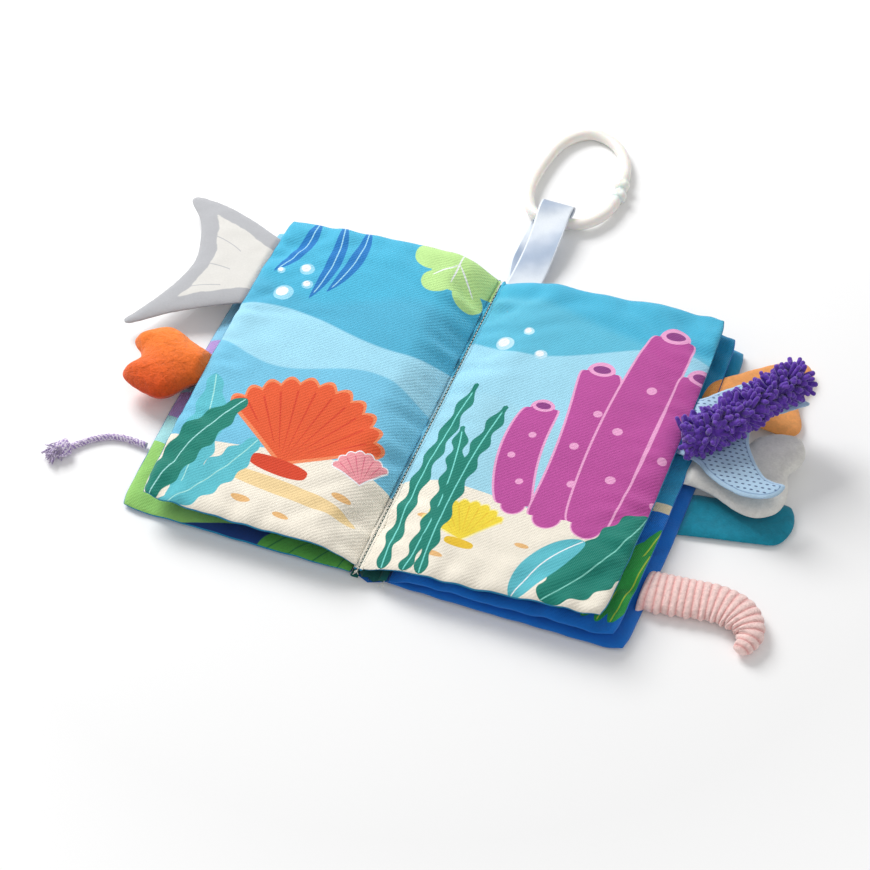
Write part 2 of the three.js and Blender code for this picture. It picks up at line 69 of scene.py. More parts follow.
LEAVES = {
    "left_page": dict(
        side=-1, inner=-PAGE_START, head=-133, foot=-127, lean=0,
        inner_z=SEAM_HEIGHT, crest_at=26, crest_head=21.5, crest_foot=17.5, outer_z=16.8,
    ),
    "front_cover": dict(side=-1, inner=-3.3, head=-143, foot=-140.5, lean=0, flat=True),
    "right_page": dict(
        side=1, inner=PAGE_START, head=136, foot=134, lean=3.5,
        inner_z=SEAM_HEIGHT, crest_at=30, crest_head=16.3, crest_foot=16.3, outer_z=20.6,
    ),
    "inner_page": dict(
        side=1, inner=15.2, head=144, foot=142, lean=1,
        inner_z=REAR_SEAM[1], crest_at=20, crest_head=9.5, crest_foot=9.5, outer_z=11.2,
    ),
    "back_cover": dict(side=1, inner=REAR_SEAM[0], head=150, foot=148, lean=0, flat=True),
}
COVER_SEAM_HEIGHT = 2.6
COVER_HEIGHT = 3.1
COVER_FLOOR = 0.15
RIM_WIDTH = 1.3
GROUND_GAP = 0.12
CLOTH_THICKNESS = 0.35
WELD_DISTANCE = 0.003


# The user's sizes and colours


def length_property(name, description, value):
    return bpy.props.FloatProperty(
        name=name, description=description, default=value, min=0, subtype="DISTANCE", unit="LENGTH",
    )


def from_hex(code):
    """A colour as it looks on a screen, turned into the linear values that materials hold"""
    channels = [int(code[i:i + 2], 16) / 255 for i in (0, 2, 4)]
    return tuple(c / 12.92 if c <= 0.04045 else ((c + 0.055) / 1.055) ** 2.4 for c in channels)


def colour_property(name, description, code):
    return bpy.props.FloatVectorProperty(
        name=name, description=description, default=from_hex(code), size=3, min=0, max=1, subtype="COLOR",
    )


class BookSizes(bpy.types.PropertyGroup):
    plump: length_property("Page plumpness", "Half the thickness of a leaf at its middle", 3.1 * MM)
    blow_up: length_property("Blow-up cap", "The most that stuffing moves a point of a leaf", 1.6 * MM)
    cloth_cell: length_property("Cloth cell", "Spacing of the simulated cloth's points", 3.2 * MM)
    stitch_pitch: length_property("Stitch pitch", "Distance from one seam stitch to the next", 2.6 * MM)
    stitch_length: length_property("Stitch length", "Length of thread that shows in one stitch", 1.9 * MM)
    thread_radius: length_property("Thread radius", "Radius of the sewing thread", 0.25 * MM)
    tuft_length: length_property("Tuft length", "Length of a chenille tuft", 8.5 * MM)
    tuft_radius: length_property("Tuft radius", "Radius of a chenille tuft", 1.55 * MM)
    rib_pitch: length_property("Rib pitch", "Distance from one corduroy rib to the next", 3.9 * MM)
    ribbon_width: length_property("Ribbon width", "Width of the satin ribbon", 20 * MM)
    ring_wire: length_property("Ring wire radius", "Radius of the link ring's section", 3.5 * MM)
    cord_diameter: length_property("Cord diameter", "Diameter of the twisted cord", 3.8 * MM)


class BookColours(bpy.types.PropertyGroup):
    water: colour_property("Water", "Printed water at the head of a page", "48B8DC")
    pale_water: colour_property("Pale water", "Printed swell and shallow water", "A2DDF3")
    sand: colour_property("Sand", "Printed sand", "F8F0E0")
    tan: colour_property("Tan", "Printed pebbles", "F0BE7E")
    orange: colour_property("Orange", "Printed scallop shell", "E85A2C")
    magenta: colour_property("Magenta", "Printed tube coral", "BE4C9E")
    pink: colour_property("Pink", "Printed coral tips", "F2A8D6")
    teal: colour_property("Teal", "Printed dark weed", "0C8070")
    pale_teal: colour_property("Pale teal", "Printed light weed", "5CC0CE")
    leaf: colour_property("Leaf green", "Printed light weed", "C4EE98")
    deep_blue: colour_property("Deep blue", "Printed blue fronds", "1477C2")
    yellow: colour_property("Yellow", "Printed small shell", "F6DC3C")
    royal: colour_property("Royal blue", "Plain dyed cloth of the right-hand leaves", "0870CE")
    sea_blue: colour_property("Sea blue", "Plain dyed cloth under the pages", "1089B8")
    navy: colour_property("Navy", "Printed foot band of the front cover", "123A7C")
    lilac: colour_property("Lilac", "Printed band of the front cover", "B79BDC")
    meadow: colour_property("Meadow", "Printed corner of the front cover", "9CD672")


# Making meshes


def in_metres(points):
    return [tuple(value * MM for value in point) for point in points]


def finished_piece(name, bm, *materials):
    """A mesh object at the origin, with smooth faces, from a bmesh in metres"""
    mesh = bpy.data.meshes.new(name)
    for face in bm.faces:
        face.smooth = True
    bm.to_mesh(mesh)
    bm.free()
    for material in materials:
        mesh.materials.append(material)
    piece = bpy.data.objects.new(name, mesh)
    bpy.context.scene.collection.objects.link(piece)
    return piece


def dressed(piece, body, slot, *nodes):
    """The piece rides on a body and stands for the nodes; the slot is not used"""
    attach(piece, body)
    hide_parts(*nodes)


def grid_skin(cells_u, cells_v, place, weld=True):
    """A grid laid over a surface: place takes two shares from 0 to 1 and gives a point in metres"""
    bm = bmesh.new()
    bm.loops.layers.uv.new("UVMap")
    bmesh.ops.create_grid(bm, x_segments=cells_u, y_segments=cells_v, size=0.5, calc_uvs=True)
    for vert in bm.verts:
        vert.co = place(vert.co.x + 0.5, vert.co.y + 0.5)
    if weld:
        bmesh.ops.remove_doubles(bm, verts=bm.verts, dist=WELD_DISTANCE * MM)
        bmesh.ops.recalc_face_normals(bm, faces=bm.faces)
    return bm


def pour_in(bm, *others):
    """Adds the faces of other bmeshes to a bmesh, and frees them"""
    carrier = bpy.data.meshes.new("carrier")
    for other in others:
        other.to_mesh(carrier)
        other.free()
        bm.from_mesh(carrier)
    bpy.data.meshes.remove(carrier)


def keep_off_ground(bm, gap):
    for vert in bm.verts:
        vert.co.z = max(vert.co.z, gap * MM)


def set_uv(bm, place):
    """Gives each corner of each face the UV that place works out from its vertex"""
    uv = bm.loops.layers.uv.verify()
    for face in bm.faces:
        for loop in face.loops:
            loop[uv].uv = place(loop.vert.co)


def given_thickness(piece):
    """A single skin becomes cloth of an even thickness"""
    wall = piece.modifiers.new("Cloth thickness", "SOLIDIFY")
    wall.thickness = CLOTH_THICKNESS * MM
    wall.offset = 0


def made_finer(piece):
    fine = piece.modifiers.new("Fine", "SUBSURF")
    fine.levels = fine.render_levels = 1


def ripple_at(x, y, z):
    """A smooth random number, from about -1 to 1, at a place in the noise"""
    return noise.noise(Vector((x, y, z)))


def fade(distance, reach):
    """1 at a line, falling off smoothly to both sides"""
    return math.exp(-(distance / reach) ** 2)


ROUTE_STEPS = 12


def smoothed_route(points, closed=False):
    """A smooth curve through the points: gives its point and direction at a share of its length"""
    knots = [Vector(p) for p in points]
    count = len(knots)
    fine = []
    spans = count if closed else count - 1
    for i in range(spans):
        if closed:
            a, b, c, d = (knots[(i + k) % count] for k in (-1, 0, 1, 2))
        else:
            b, c = knots[i], knots[i + 1]
            a = knots[i - 1] if i else b * 2 - c
            d = knots[i + 2] if i + 2 < count else c * 2 - b
        for step in range(ROUTE_STEPS):
            t = step / ROUTE_STEPS
            square = (2 * a - 5 * b + 4 * c - d) * t * t
            cube = (3 * b - a - 3 * c + d) * t ** 3
            fine.append(0.5 * (2 * b + (c - a) * t + square + cube))
    fine.append(knots[0].copy() if closed else knots[-1].copy())
    reach = [0.0]
    for a, b in zip(fine, fine[1:]):
        reach.append(reach[-1] + (b - a).length)

    def at(share):
        target = clamp01(share) * reach[-1]
        low, high = 0, len(reach) - 1
        while high - low > 1:
            middle = (low + high) // 2
            if reach[middle] <= target:
                low = middle
            else:
                high = middle
        t = (target - reach[low]) / max(reach[high] - reach[low], 1e-12)
        before = fine[max(low - 1, 0)]
        after = fine[min(high + 1, len(fine) - 1)]
        return fine[low].lerp(fine[high], t), (after - before).normalized()

    at.length = reach[-1]
    return at


def section_frame(direction):
    """Two directions square to a route: one level, one upwards"""
    level = direction.cross(UP).normalized()
    return level, level.cross(direction).normalized()


def swept_skin(route, around, along, radii):
    """A closed tube on a route: radii takes the share along and the angle, and gives its two reaches"""
    cap = 0.5 / along

    def place(u, v):
        point, direction = route(v)
        level, upright = section_frame(direction)
        angle = 2 * math.pi * u
        wide, high = radii(v, angle)
        if v < cap or v > 1 - cap:
            wide = high = 0
        return point + level * (wide * math.cos(angle)) + upright * (high * math.sin(angle))

    return grid_skin(around, along, place)


class Beads:
    """Many round-ended beads of thread or tuft, gathered and joined into one bmesh at the end"""

    def __init__(self, sides=6, rings=5):
        ball = bmesh.new()
        ball.loops.layers.uv.new("UVMap")
        bmesh.ops.create_uvsphere(ball, u_segments=sides, v_segments=rings, radius=1, calc_uvs=True)
        self.ball = ball
        self.held = []

    def add(self, start, end, radius):
        self.held.append((start.copy(), end.copy(), radius))

    def poured_into(self, bm):
        mesh = bpy.data.meshes.new("bead")
        for start, end, radius in self.held:
            bead = self.ball.copy()
            run = end - start
            spare = max(run.length / 2 - radius, 0)
            turn = UP.rotation_difference(run.normalized()).to_matrix()
            for vert in bead.verts:
                point = vert.co * radius
                if abs(vert.co.z) > 0.01:
                    point.z += math.copysign(spare, vert.co.z)
                vert.co = (start + end) / 2 + turn @ point
            bead.to_mesh(mesh)
            bead.free()
            bm.from_mesh(mesh)
        bpy.data.meshes.remove(mesh)
        self.ball.free()
        return bm


def clamp01(t):
    return min(1.0, max(0.0, t))


def mix(a, b, t):
    return a + (b - a) * t


def ease(t):
    return 0.5 - 0.5 * math.cos(math.pi * clamp01(t))


# Where the surface of a leaf lies


def outer_x(leaf, v):
    return mix(leaf["foot"], leaf["head"], v) + leaf["side"] * EDGE_BOW * (1 - (2 * v - 1) ** 2)


def leaf_width(leaf, v):
    return abs(outer_x(leaf, v) - leaf["inner"])


def leaf_height(leaf, across, v):
    """Height of the middle of a leaf that isn't lying flat, in millimetres"""
    crest = mix(leaf["crest_foot"], leaf["crest_head"], v)
    if across < leaf["crest_at"]:
        t = clamp01(across / leaf["crest_at"])
        return mix(leaf["inner_z"], crest, t * (1.25 - 0.25 * t * t))
    t = (across - leaf["crest_at"]) / (leaf_width(leaf, v) - leaf["crest_at"])
    return mix(crest, leaf["outer_z"], ease(t))


def gutter_share(leaf, u):
    """A page is thinner by its sewn edge, so that it has room to turn; a cover is the same all over"""
    return 1.0 if leaf.get("flat") else mix(0.4, 1, ease(u / 0.15))


CORNER_PULL = (0.014, 0.008)
COVER_SLOPE_WIDTH = 12


def leaf_point(leaf, u, v, offset):
    """The point of a leaf at share u from its sewn edge and v from its foot, offset up from its middle"""
    width = leaf_width(leaf, clamp01(v))
    near_end = min(v, 1 - v)
    corner = fade(1 - u, 0.05) * fade(near_end, 0.03)
    u -= CORNER_PULL[0] * corner
    v += CORNER_PULL[1] * corner * (1 if v < 0.5 else -1)
    across = u * width
    along = v * BOOK_LENGTH
    x = leaf["inner"] + leaf["side"] * across
    y = along - HALF_LENGTH + leaf["lean"] * across / PAGE_WIDTH
    if leaf.get("flat"):
        to_edge = min(width - across, along, BOOK_LENGTH - along)
        z = mix(COVER_SEAM_HEIGHT, COVER_HEIGHT, clamp01(to_edge / COVER_SLOPE_WIDTH)) + offset
        z = max(z, COVER_FLOOR)
    else:
        z = leaf_height(leaf, across, clamp01(v)) + offset
    return Vector((x, y, z)) * MM


# Materials: fields of numbers over a surface


class Field:
    """A number that changes over the surface: the output of a node, with arithmetic"""

    def __init__(self, tree, socket):
        self.tree = tree
        self.socket = socket

    def math(self, operation, *others, clamp=False):
        node = self.tree.nodes.new("ShaderNodeMath")
        node.operation = operation
        node.use_clamp = clamp
        for entry, value in zip(node.inputs, (self, *others)):
            connect(self.tree, value, entry)
        return Field(self.tree, node.outputs[0])

    def __add__(self, other):
        return self.math("ADD", other)

    def __sub__(self, other):
        return self.math("SUBTRACT", other)

    def __mul__(self, other):
        return self.math("MULTIPLY", other)

    def __truediv__(self, other):
        return self.math("DIVIDE", other)

    def inside(self, edge=0.25):
        """1 where the number is below 0, and 0 where it is above, with a soft edge"""
        node = self.tree.nodes.new("ShaderNodeMapRange")
        node.interpolation_type = "SMOOTHSTEP"
        connect(self.tree, self, node.inputs["Value"])
        node.inputs["From Min"].default_value = edge
        node.inputs["From Max"].default_value = -edge
        return Field(self.tree, node.outputs["Result"])


def connect(tree, value, entry):
    """Links a field or a socket to an input, or sets the input to a plain value"""
    if isinstance(value, Field):
        tree.links.new(value.socket, entry)
    elif isinstance(value, bpy.types.NodeSocket):
        tree.links.new(value, entry)
    else:
        entry.default_value = value


def add_node(tree, kind, inputs=None, **settings):
    node = tree.nodes.new(kind)
    for key, value in settings.items():
        setattr(node, key, value)
    for key, value in (inputs or {}).items():
        connect(tree, value, node.inputs[key])
    return node


def mixed(tree, factor, first, second, blend_type="MIX"):
    """A colour between two colours, each of which may be a socket, linear values or a screen code"""
    node = add_node(tree, "ShaderNodeMix", data_type="RGBA", blend_type=blend_type)
    connect(tree, factor, node.inputs[0])
    for entry, value in ((node.inputs[6], first), (node.inputs[7], second)):
        if isinstance(value, str):
            value = from_hex(value)
        if not isinstance(value, bpy.types.NodeSocket):
            value = (*value, 1.0)[:4]
        connect(tree, value, entry)
    return node.outputs[2]


def split(tree, vector):
    node = add_node(tree, "ShaderNodeSeparateXYZ", {0: vector})
    return [Field(tree, out) for out in node.outputs]


def noise_field(tree, position, scale, detail=2.0, distortion=0.0):
    """Noise from 0 to 1, with features about 1 / scale metres across"""
    node = add_node(tree, "ShaderNodeTexNoise", {
        "Vector": position, "Scale": scale, "Detail": detail, "Distortion": distortion,
    })
    return Field(tree, node.outputs["Fac"])


def add_bump(tree, shader, height, strength, distance):
    bump = add_node(tree, "ShaderNodeBump", {"Strength": strength, "Distance": distance, "Height": height})
    tree.links.new(bump.outputs["Normal"], shader.inputs["Normal"])


def node_group(name, inputs, outputs):
    """A shader node group with named inputs and outputs, and its two end nodes"""
    tree = bpy.data.node_groups.new(name, "ShaderNodeTree")
    for label, kind, value in inputs:
        socket = tree.interface.new_socket(label, in_out="INPUT", socket_type=kind)
        if value is not None:
            socket.default_value = value
    for label, kind in outputs:
        tree.interface.new_socket(label, in_out="OUTPUT", socket_type=kind)
    entry = tree.nodes.new("NodeGroupInput")
    leave = tree.nodes.new("NodeGroupOutput")
    return tree, entry, leave


FLOAT = "NodeSocketFloat"
VECTOR = "NodeSocketVector"


def weave_group():
    """Twill: fine diagonal ridges crossed by the weft, with uneven dye in random clouds and painted shade
    that darkens the cloth where its ridges and specks are low
    """
    tree, entry, leave = node_group(
        "Weave",
        [("Position", VECTOR, None), ("Pitch", FLOAT, 0.7), ("Unevenness", FLOAT, 0.06)],
        [("Height", FLOAT), ("Shade", FLOAT)],
    )
    x, y, z = split(tree, entry.outputs["Position"])
    pitch = Field(tree, entry.outputs["Pitch"])
    turn = 2 * math.pi * 1000
    warp = ((x + y + z) * turn / pitch).math("SINE")
    weft = ((x - y) * (turn * 0.5) / pitch).math("SINE")
    speck = noise_field(tree, entry.outputs["Position"], 900.0)
    cloud = noise_field(tree, entry.outputs["Position"], 45.0, 3.0)
    height = warp * 0.5 + weft * 0.3 + speck
    # Uneven dye from the clouds, plus painted shade from the ridges and specks of the relief, darker where
    # they are low
    tone = (cloud - 0.5) + (speck - 0.5) * 1.2 + warp * 0.22
    connect(tree, height, leave.inputs["Height"])
    connect(tree, tone * Field(tree, entry.outputs["Unevenness"]) * 2 + 1, leave.inputs["Shade"])
    return tree


def pile_group():
    """Pile: short fibres that lean in tufts, with painted shade and highlight: darker where the pile lies
    low and lighter where it stands high, at its tips
    """
    tree, entry, leave = node_group(
        "Pile",
        [
            ("Position", VECTOR, None), ("Fibre", FLOAT, 1400.0),
            ("Clump", FLOAT, 180.0), ("Depth", FLOAT, 0.2),
        ],
        [("Height", FLOAT), ("Shade", FLOAT)],
    )
    position = entry.outputs["Position"]
    fine = noise_field(tree, position, entry.outputs["Fibre"], 3.0)
    coarse = noise_field(tree, position, entry.outputs["Clump"], 3.0, 0.6)
    connect(tree, fine * 0.5 + coarse, leave.inputs["Height"])
    depth = Field(tree, entry.outputs["Depth"])
    # Painted shade and highlight: the colour follows the pile's height, darker where it is low and lighter
    # where it is high
    connect(tree, ((fine - 0.5) * 0.9 + (coarse - 0.5) * 1.3) * depth * 2 + 1, leave.inputs["Shade"])
    return tree


def blade_group():
    """A printed blade, petal, bead or pebble from one point to another, in millimetres"""
    tree, entry, leave = node_group(
        "Blade",
        [
            ("Position", VECTOR, None), ("Start", VECTOR, None), ("End", VECTOR, None),
            ("Width", FLOAT, 4.0), ("Taper", FLOAT, 0.5), ("Bend", FLOAT, 0.0),
            ("Wave", FLOAT, 0.0), ("Waves", FLOAT, 5.0),
        ],
        [("Distance", FLOAT), ("Side", FLOAT)],
    )
    get = {name: Field(tree, entry.outputs[name]) for name in ("Width", "Taper", "Bend", "Wave", "Waves")}

    def vector_math(operation, a, b, output="Vector"):
        node = add_node(tree, "ShaderNodeVectorMath", {0: a, 1: b}, operation=operation)
        return node.outputs[output]

    ray = vector_math("SUBTRACT", entry.outputs["End"], entry.outputs["Start"])
    away = vector_math("SUBTRACT", entry.outputs["Position"], entry.outputs["Start"])
    length = Field(tree, vector_math("LENGTH", ray, (0, 0, 0), "Value"))
    along = Field(tree, vector_math("DOT_PRODUCT", away, ray, "Value")) / length
    _, _, cross = split(tree, vector_math("CROSS_PRODUCT", ray, away))
    share = (along / length).math("ADD", 0.0, clamp=True)
    hump = share * (share * -1.0 + 1.0) * 4.0
    side = cross / length - get["Bend"] * hump
    past = along - share * length
    wide = get["Width"] * hump.math("MAXIMUM", 0.0001).math("POWER", get["Taper"])
    wide = wide + get["Wave"] * (share * get["Waves"] * (2 * math.pi)).math("SINE")
    distance = (side * side + past * past).math("SQRT") - wide
    connect(tree, distance, leave.inputs["Distance"])
    connect(tree, side, leave.inputs["Side"])
    return tree


def fan_group():
    """A printed scallop shell: ribs that spread from a hinge to a lobed rim, in millimetres"""
    tree, entry, leave = node_group(
        "Fan",
        [
            ("Position", VECTOR, None), ("Hinge", VECTOR, None), ("Reach", FLOAT, 30.0),
            ("Heading", FLOAT, 0.0), ("Spread", FLOAT, 1.1), ("Ribs", FLOAT, 9.0),
        ],
        [("Distance", FLOAT), ("Rib", FLOAT)],
    )
    away = add_node(tree, "ShaderNodeVectorMath", {
        0: entry.outputs["Position"], 1: entry.outputs["Hinge"],
    }, operation="SUBTRACT")
    x, y, _ = split(tree, away.outputs["Vector"])
    far = (x * x + y * y).math("SQRT")
    angle = x.math("ARCTAN2", y) - Field(tree, entry.outputs["Heading"])
    spread = Field(tree, entry.outputs["Spread"])
    turned = angle / spread
    ribs = Field(tree, entry.outputs["Ribs"])
    lobe = (turned * ribs * (math.pi / 2)).math("COSINE").math("ABSOLUTE")
    reach = Field(tree, entry.outputs["Reach"])
    rim = reach * (lobe * 0.07 + 0.93 - turned * turned * 0.1)
    sides = (angle.math("ABSOLUTE") - spread) * far
    connect(tree, (far - rim).math("MAXIMUM", sides), leave.inputs["Distance"])
    connect(tree, lobe, leave.inputs["Rib"])
    return tree


GROUPS = {}


def group(name):
    """A shared node group, built once"""
    makers = {"Weave": weave_group, "Pile": pile_group, "Blade": blade_group, "Fan": fan_group}
    if name not in GROUPS:
        GROUPS[name] = makers[name]()
    return GROUPS[name]


def use_group(tree, name, inputs):
    node = tree.nodes.new("ShaderNodeGroup")
    node.node_tree = group(name)
    for key, value in inputs.items():
        connect(tree, value, node.inputs[key])
    return node


def new_material(name, roughness=0.9, sheen=0.0, coat=0.0):
    material = bpy.data.materials.new(name)
    material.use_nodes = True
    tree = material.node_tree
    shader = tree.nodes["Principled BSDF"]
    shader.inputs["Roughness"].default_value = roughness
    shader.inputs["Sheen Weight"].default_value = sheen
    shader.inputs["Coat Weight"].default_value = coat
    shader.inputs["Specular IOR Level"].default_value = 0.3
    place = add_node(tree, "ShaderNodeTexCoord").outputs["Object"]
    return material, tree, shader, place


def finish_surface(tree, shader, colour, texture, depth, strength=0.6):
    """The texture's shade tints the colour, and its height makes the bump"""
    tinted = mixed(tree, 1.0, colour, texture.outputs["Shade"], "MULTIPLY")
    tree.links.new(tinted, shader.inputs["Base Color"])
    add_bump(tree, shader, texture.outputs["Height"], strength, depth)


def painted(tree, place, colour):
    """A plain colour, or what a function of a material's place paints"""
    return colour(tree, place) if callable(colour) else colour


def cloth_material(name, colour, pitch=0.7, unevenness=0.06, depth=0.15 * MM, sheen=0.15, roughness=0.85):
    material, tree, shader, place = new_material(name, roughness, sheen)
    texture = use_group(tree, "Weave", {
        "Position": place, "Pitch": pitch, "Unevenness": unevenness,
    })
    finish_surface(tree, shader, painted(tree, place, colour), texture, depth)
    return material


def pile_material(name, colour, fibre, clump, depth, shade, sheen=0.6, roughness=1.0, strength=0.8):
    material, tree, shader, place = new_material(name, roughness, sheen)
    texture = use_group(tree, "Pile", {
        "Position": place, "Fibre": fibre, "Clump": clump, "Depth": shade,
    })
    finish_surface(tree, shader, painted(tree, place, colour), texture, depth, strength)
    return material


def dip_dyed(head, foot):
    """Cloth printed sea blue at the book's head, which turns to royal blue towards its foot"""
    def colour(tree, place):
        _, y, _ = split(tree, place)
        return mixed(tree, (y * 1000.0 - 38).inside(12.0), head, foot)
    return colour


def uv_position(tree):
    return split(tree, add_node(tree, "ShaderNodeUVMap", uv_map="UVMap").outputs["UV"])


# Printed pages: generic shells, corals, weeds and pebbles


class Print:
    """Paints motifs one over another on a page, in millimetres from its lower left corner"""

    def __init__(self, name, ground, side=1, rim=None):
        self.side = side
        self.rim = rim
        self.material, self.tree, self.shader, self.place = new_material(name, 0.82, 0.15)
        uv = add_node(self.tree, "ShaderNodeUVMap", uv_map="UVMap")
        page_size = (PAGE_WIDTH, BOOK_LENGTH, 0)
        scaled = add_node(
            self.tree, "ShaderNodeVectorMath", {0: uv.outputs["UV"], 1: page_size}, operation="MULTIPLY",
        )
        self.position = scaled.outputs["Vector"]
        self.x, self.y, _ = split(self.tree, self.position)
        self.colour = ground

    def paint(self, mask, colour):
        self.colour = mixed(self.tree, mask, self.colour, colour)

    def blade(self, start, end, width, colour, taper=0.5, bend=0.0, wave=0.0, waves=5.0, vein=None):
        """A blade, petal, pebble or bead; a vein is a thin line along its middle"""
        node = use_group(self.tree, "Blade", {
            "Position": self.position, "Start": (*start, 0), "End": (*end, 0), "Width": width,
            "Taper": taper, "Bend": bend, "Wave": wave, "Waves": waves,
        })
        distance = Field(self.tree, node.outputs["Distance"])
        self.paint(distance.inside(), colour)
        if vein:
            line = Field(self.tree, node.outputs["Side"]).math("ABSOLUTE") - 0.35
            inner = distance + 1.5
            self.paint(line.math("MAXIMUM", inner).inside(0.2), vein)

    def disc(self, centre, radius, colour):
        start = (centre[0] - 0.01, centre[1])
        end = (centre[0] + 0.01, centre[1])
        self.blade(start, end, radius, colour, taper=0.0)

    def fan(self, hinge, reach, colour, rib_colour, rim_colour, heading=0.0, spread=1.1, ribs=9.0):
        node = use_group(self.tree, "Fan", {
            "Position": self.position, "Hinge": (*hinge, 0), "Reach": reach,
            "Heading": heading, "Spread": spread, "Ribs": ribs,
        })
        distance = Field(self.tree, node.outputs["Distance"])
        rib = Field(self.tree, node.outputs["Rib"])
        self.paint(distance.inside(), rim_colour)
        self.paint((distance + reach * 0.035).inside(), colour)
        self.paint((rib - 0.2).math("MAXIMUM", distance + reach * 0.1).inside(0.12), rib_colour)

    def below(self, level, swing, turns, phase, colour, edge=0.25):
        """Fills everything below a wavy line"""
        line = (self.x * (2 * math.pi * turns / PAGE_WIDTH) + phase).math("SINE") * swing + level
        self.paint((self.y - line).inside(edge), colour)

    def finish(self):
        if self.rim:
            to_side = self.x if self.side < 0 else self.x * -1.0 + PAGE_WIDTH
            to_end = self.y.math("MINIMUM", self.y * -1.0 + BOOK_LENGTH)
            self.paint((to_side.math("MINIMUM", to_end) - RIM_WIDTH).inside(), self.rim)
        texture = use_group(self.tree, "Weave", {
            "Position": self.place, "Pitch": 1.3, "Unevenness": 0.09,
        })
        finish_surface(self.tree, self.shader, self.colour, texture, 0.22 * MM, 0.8)
        return self.material


def pebbles(page, spots, colour):
    for x, y, reach in spots:
        page.blade((x - reach, y + reach * 0.1), (x + reach, y - reach * 0.1), reach * 0.36, colour)


def bubbles(page, spots, pale, shine):
    for x, y, radius in spots:
        page.disc((x, y), radius, pale)
        page.disc((x - radius * 0.2, y + radius * 0.15), radius * 0.62, shine)


WHITE = (0.95, 0.98, 1.0)


def left_print(c):
    """Water over a strip of sand, with a scallop shell, a small shell, weeds and bubbles"""
    page = Print("left_page_print", c.water, -1, c.sea_blue)
    pale = c.pale_water
    page.below(176, 9, 1.1, 2.6, "4FB3D6", edge=6)
    page.below(150, 7, 0.9, 0.4, pale, edge=1.0)
    page.below(118, 6, 1.3, 2.2, "76C6E6", edge=1.0)
    page.below(52, 5, 0.8, 4.4, c.sand)
    page.blade((30, 33), (125, 22), 5, "F7D9A0", bend=2)
    pebbles(page, [(58, 16, 6), (84, 12, 5), (112, 34, 6), (24, 40, 4)], c.tan)
    for x, tip, lean in ((18, 228, -8), (34, 214, 4), (50, 222, -4)):
        page.blade((x, 236), (x + lean, tip - 46), 4.5, c.deep_blue, 0.8, bend=5, vein=pale)
    lobes = ((96, 224, 12), (112, 214, 14), (126, 222, 13), (104, 204, 9), (124, 202, 9), (111, 231, 9))
    for x, y, reach in lobes:
        page.disc((x, y), reach, c.leaf)
    for start, tip in (((112, 234), (112, 206)), ((112, 222), (126, 206)), ((112, 222), (100, 208))):
        page.blade(start, tip, 0.5, WHITE)
    page.fan((70, 44), 66, c.orange, "D84220", "F58A5A", 0.1, 1.02, 11.0)
    page.blade((52, 45), (88, 41), 5.5, "D84220", 0.3)
    page.fan((118, 46), 24, "F4A0A8", "E06E86", WHITE, -0.35, 0.9, 7.0)
    weeds = (
        ((20, 0), (10, 96), -5, c.pale_teal),
        ((6, -2), (34, 84), 5, c.teal),
        ((14, -4), (52, 58), -4, c.pale_teal),
    )
    for foot, tip, bend, shade in weeds:
        page.blade(foot, tip, 10, shade, 0.6, bend, 1.1, 5.5, "A8E8E4")
    bubbles(page, [(22, 168, 6), (33, 178, 3.4), (28, 190, 4.4), (14, 184, 2.4)], "9BDDF6", WHITE)
    return page.finish()


def right_print(c):
    """Water over a strip of sand, with tube corals, a small shell, weeds and bubbles"""
    page = Print("right_page_print", c.water, 1, c.sea_blue)
    pale = c.pale_water
    page.below(206, 10, 0.7, 1.2, "5CBEDC", edge=5)
    page.below(182, 12, 0.8, 3.6, pale, edge=1.0)
    page.below(128, 7, 1.1, 0.8, "A2DAEE", edge=3)
    page.below(62, 4, 0.9, 0.6, c.sand)
    pebbles(page, [(22, 40, 4), (60, 46, 3), (36, 16, 5), (78, 34, 4)], c.tan)
    tubes = (
        ((64, 60), (56, 132), 10.5, 5), ((84, 56), (78, 168), 12.5, -4),
        ((106, 56), (110, 204), 14, 4), ((128, 52), (132, 178), 13, -3),
    )
    for start, end, wide, bend in tubes:
        page.blade(start, end, wide + 1.3, c.pink, 0.06, bend=bend)
        page.blade(start, end, wide, c.magenta, 0.06, bend=bend)
        for reach, thick, shade in ((0.6, 0.42, c.pink), (0.4, 0.24, "8E3A86")):
            mouth = ((end[0] - wide * reach, end[1] + 2), (end[0] + wide * reach, end[1] + 2))
            page.blade(*mouth, wide * thick, shade)
        for k in range(1, 4):
            t = k / 4.2
            x = mix(start[0], end[0], t) - bend * 4 * t * (1 - t) + (3 if k % 2 else -4)
            page.disc((x, mix(start[1], end[1], t)), wide * 0.2, c.pink)
    page.fan((46, 28), 30, c.yellow, "EFC52E", "FFF3A8", -0.25, 1.0, 9.0)
    page.blade((38, 27), (54, 26), 3, "EFC52E", 0.3)
    for x, tip, bend in ((12, 140, 4), (24, 108, -5), (33, 128, 4)):
        page.blade((x, 2), (x + bend, tip), 4.4, c.teal, 0.25, bend, 1.2, 7.0, "7FE3DA")
    page.blade((100, 2), (134, 74), 15, c.teal, 0.5, -5, 1.2, 6.0, "8AE0D0")
    page.blade((84, 0), (108, 46), 9, c.pale_teal, 0.55, bend=4, vein=WHITE)
    bubbles(page, [(20, 176, 5), (30, 188, 3), (42, 172, 3.6)], "BDE9FA", WHITE)
    return page.finish()


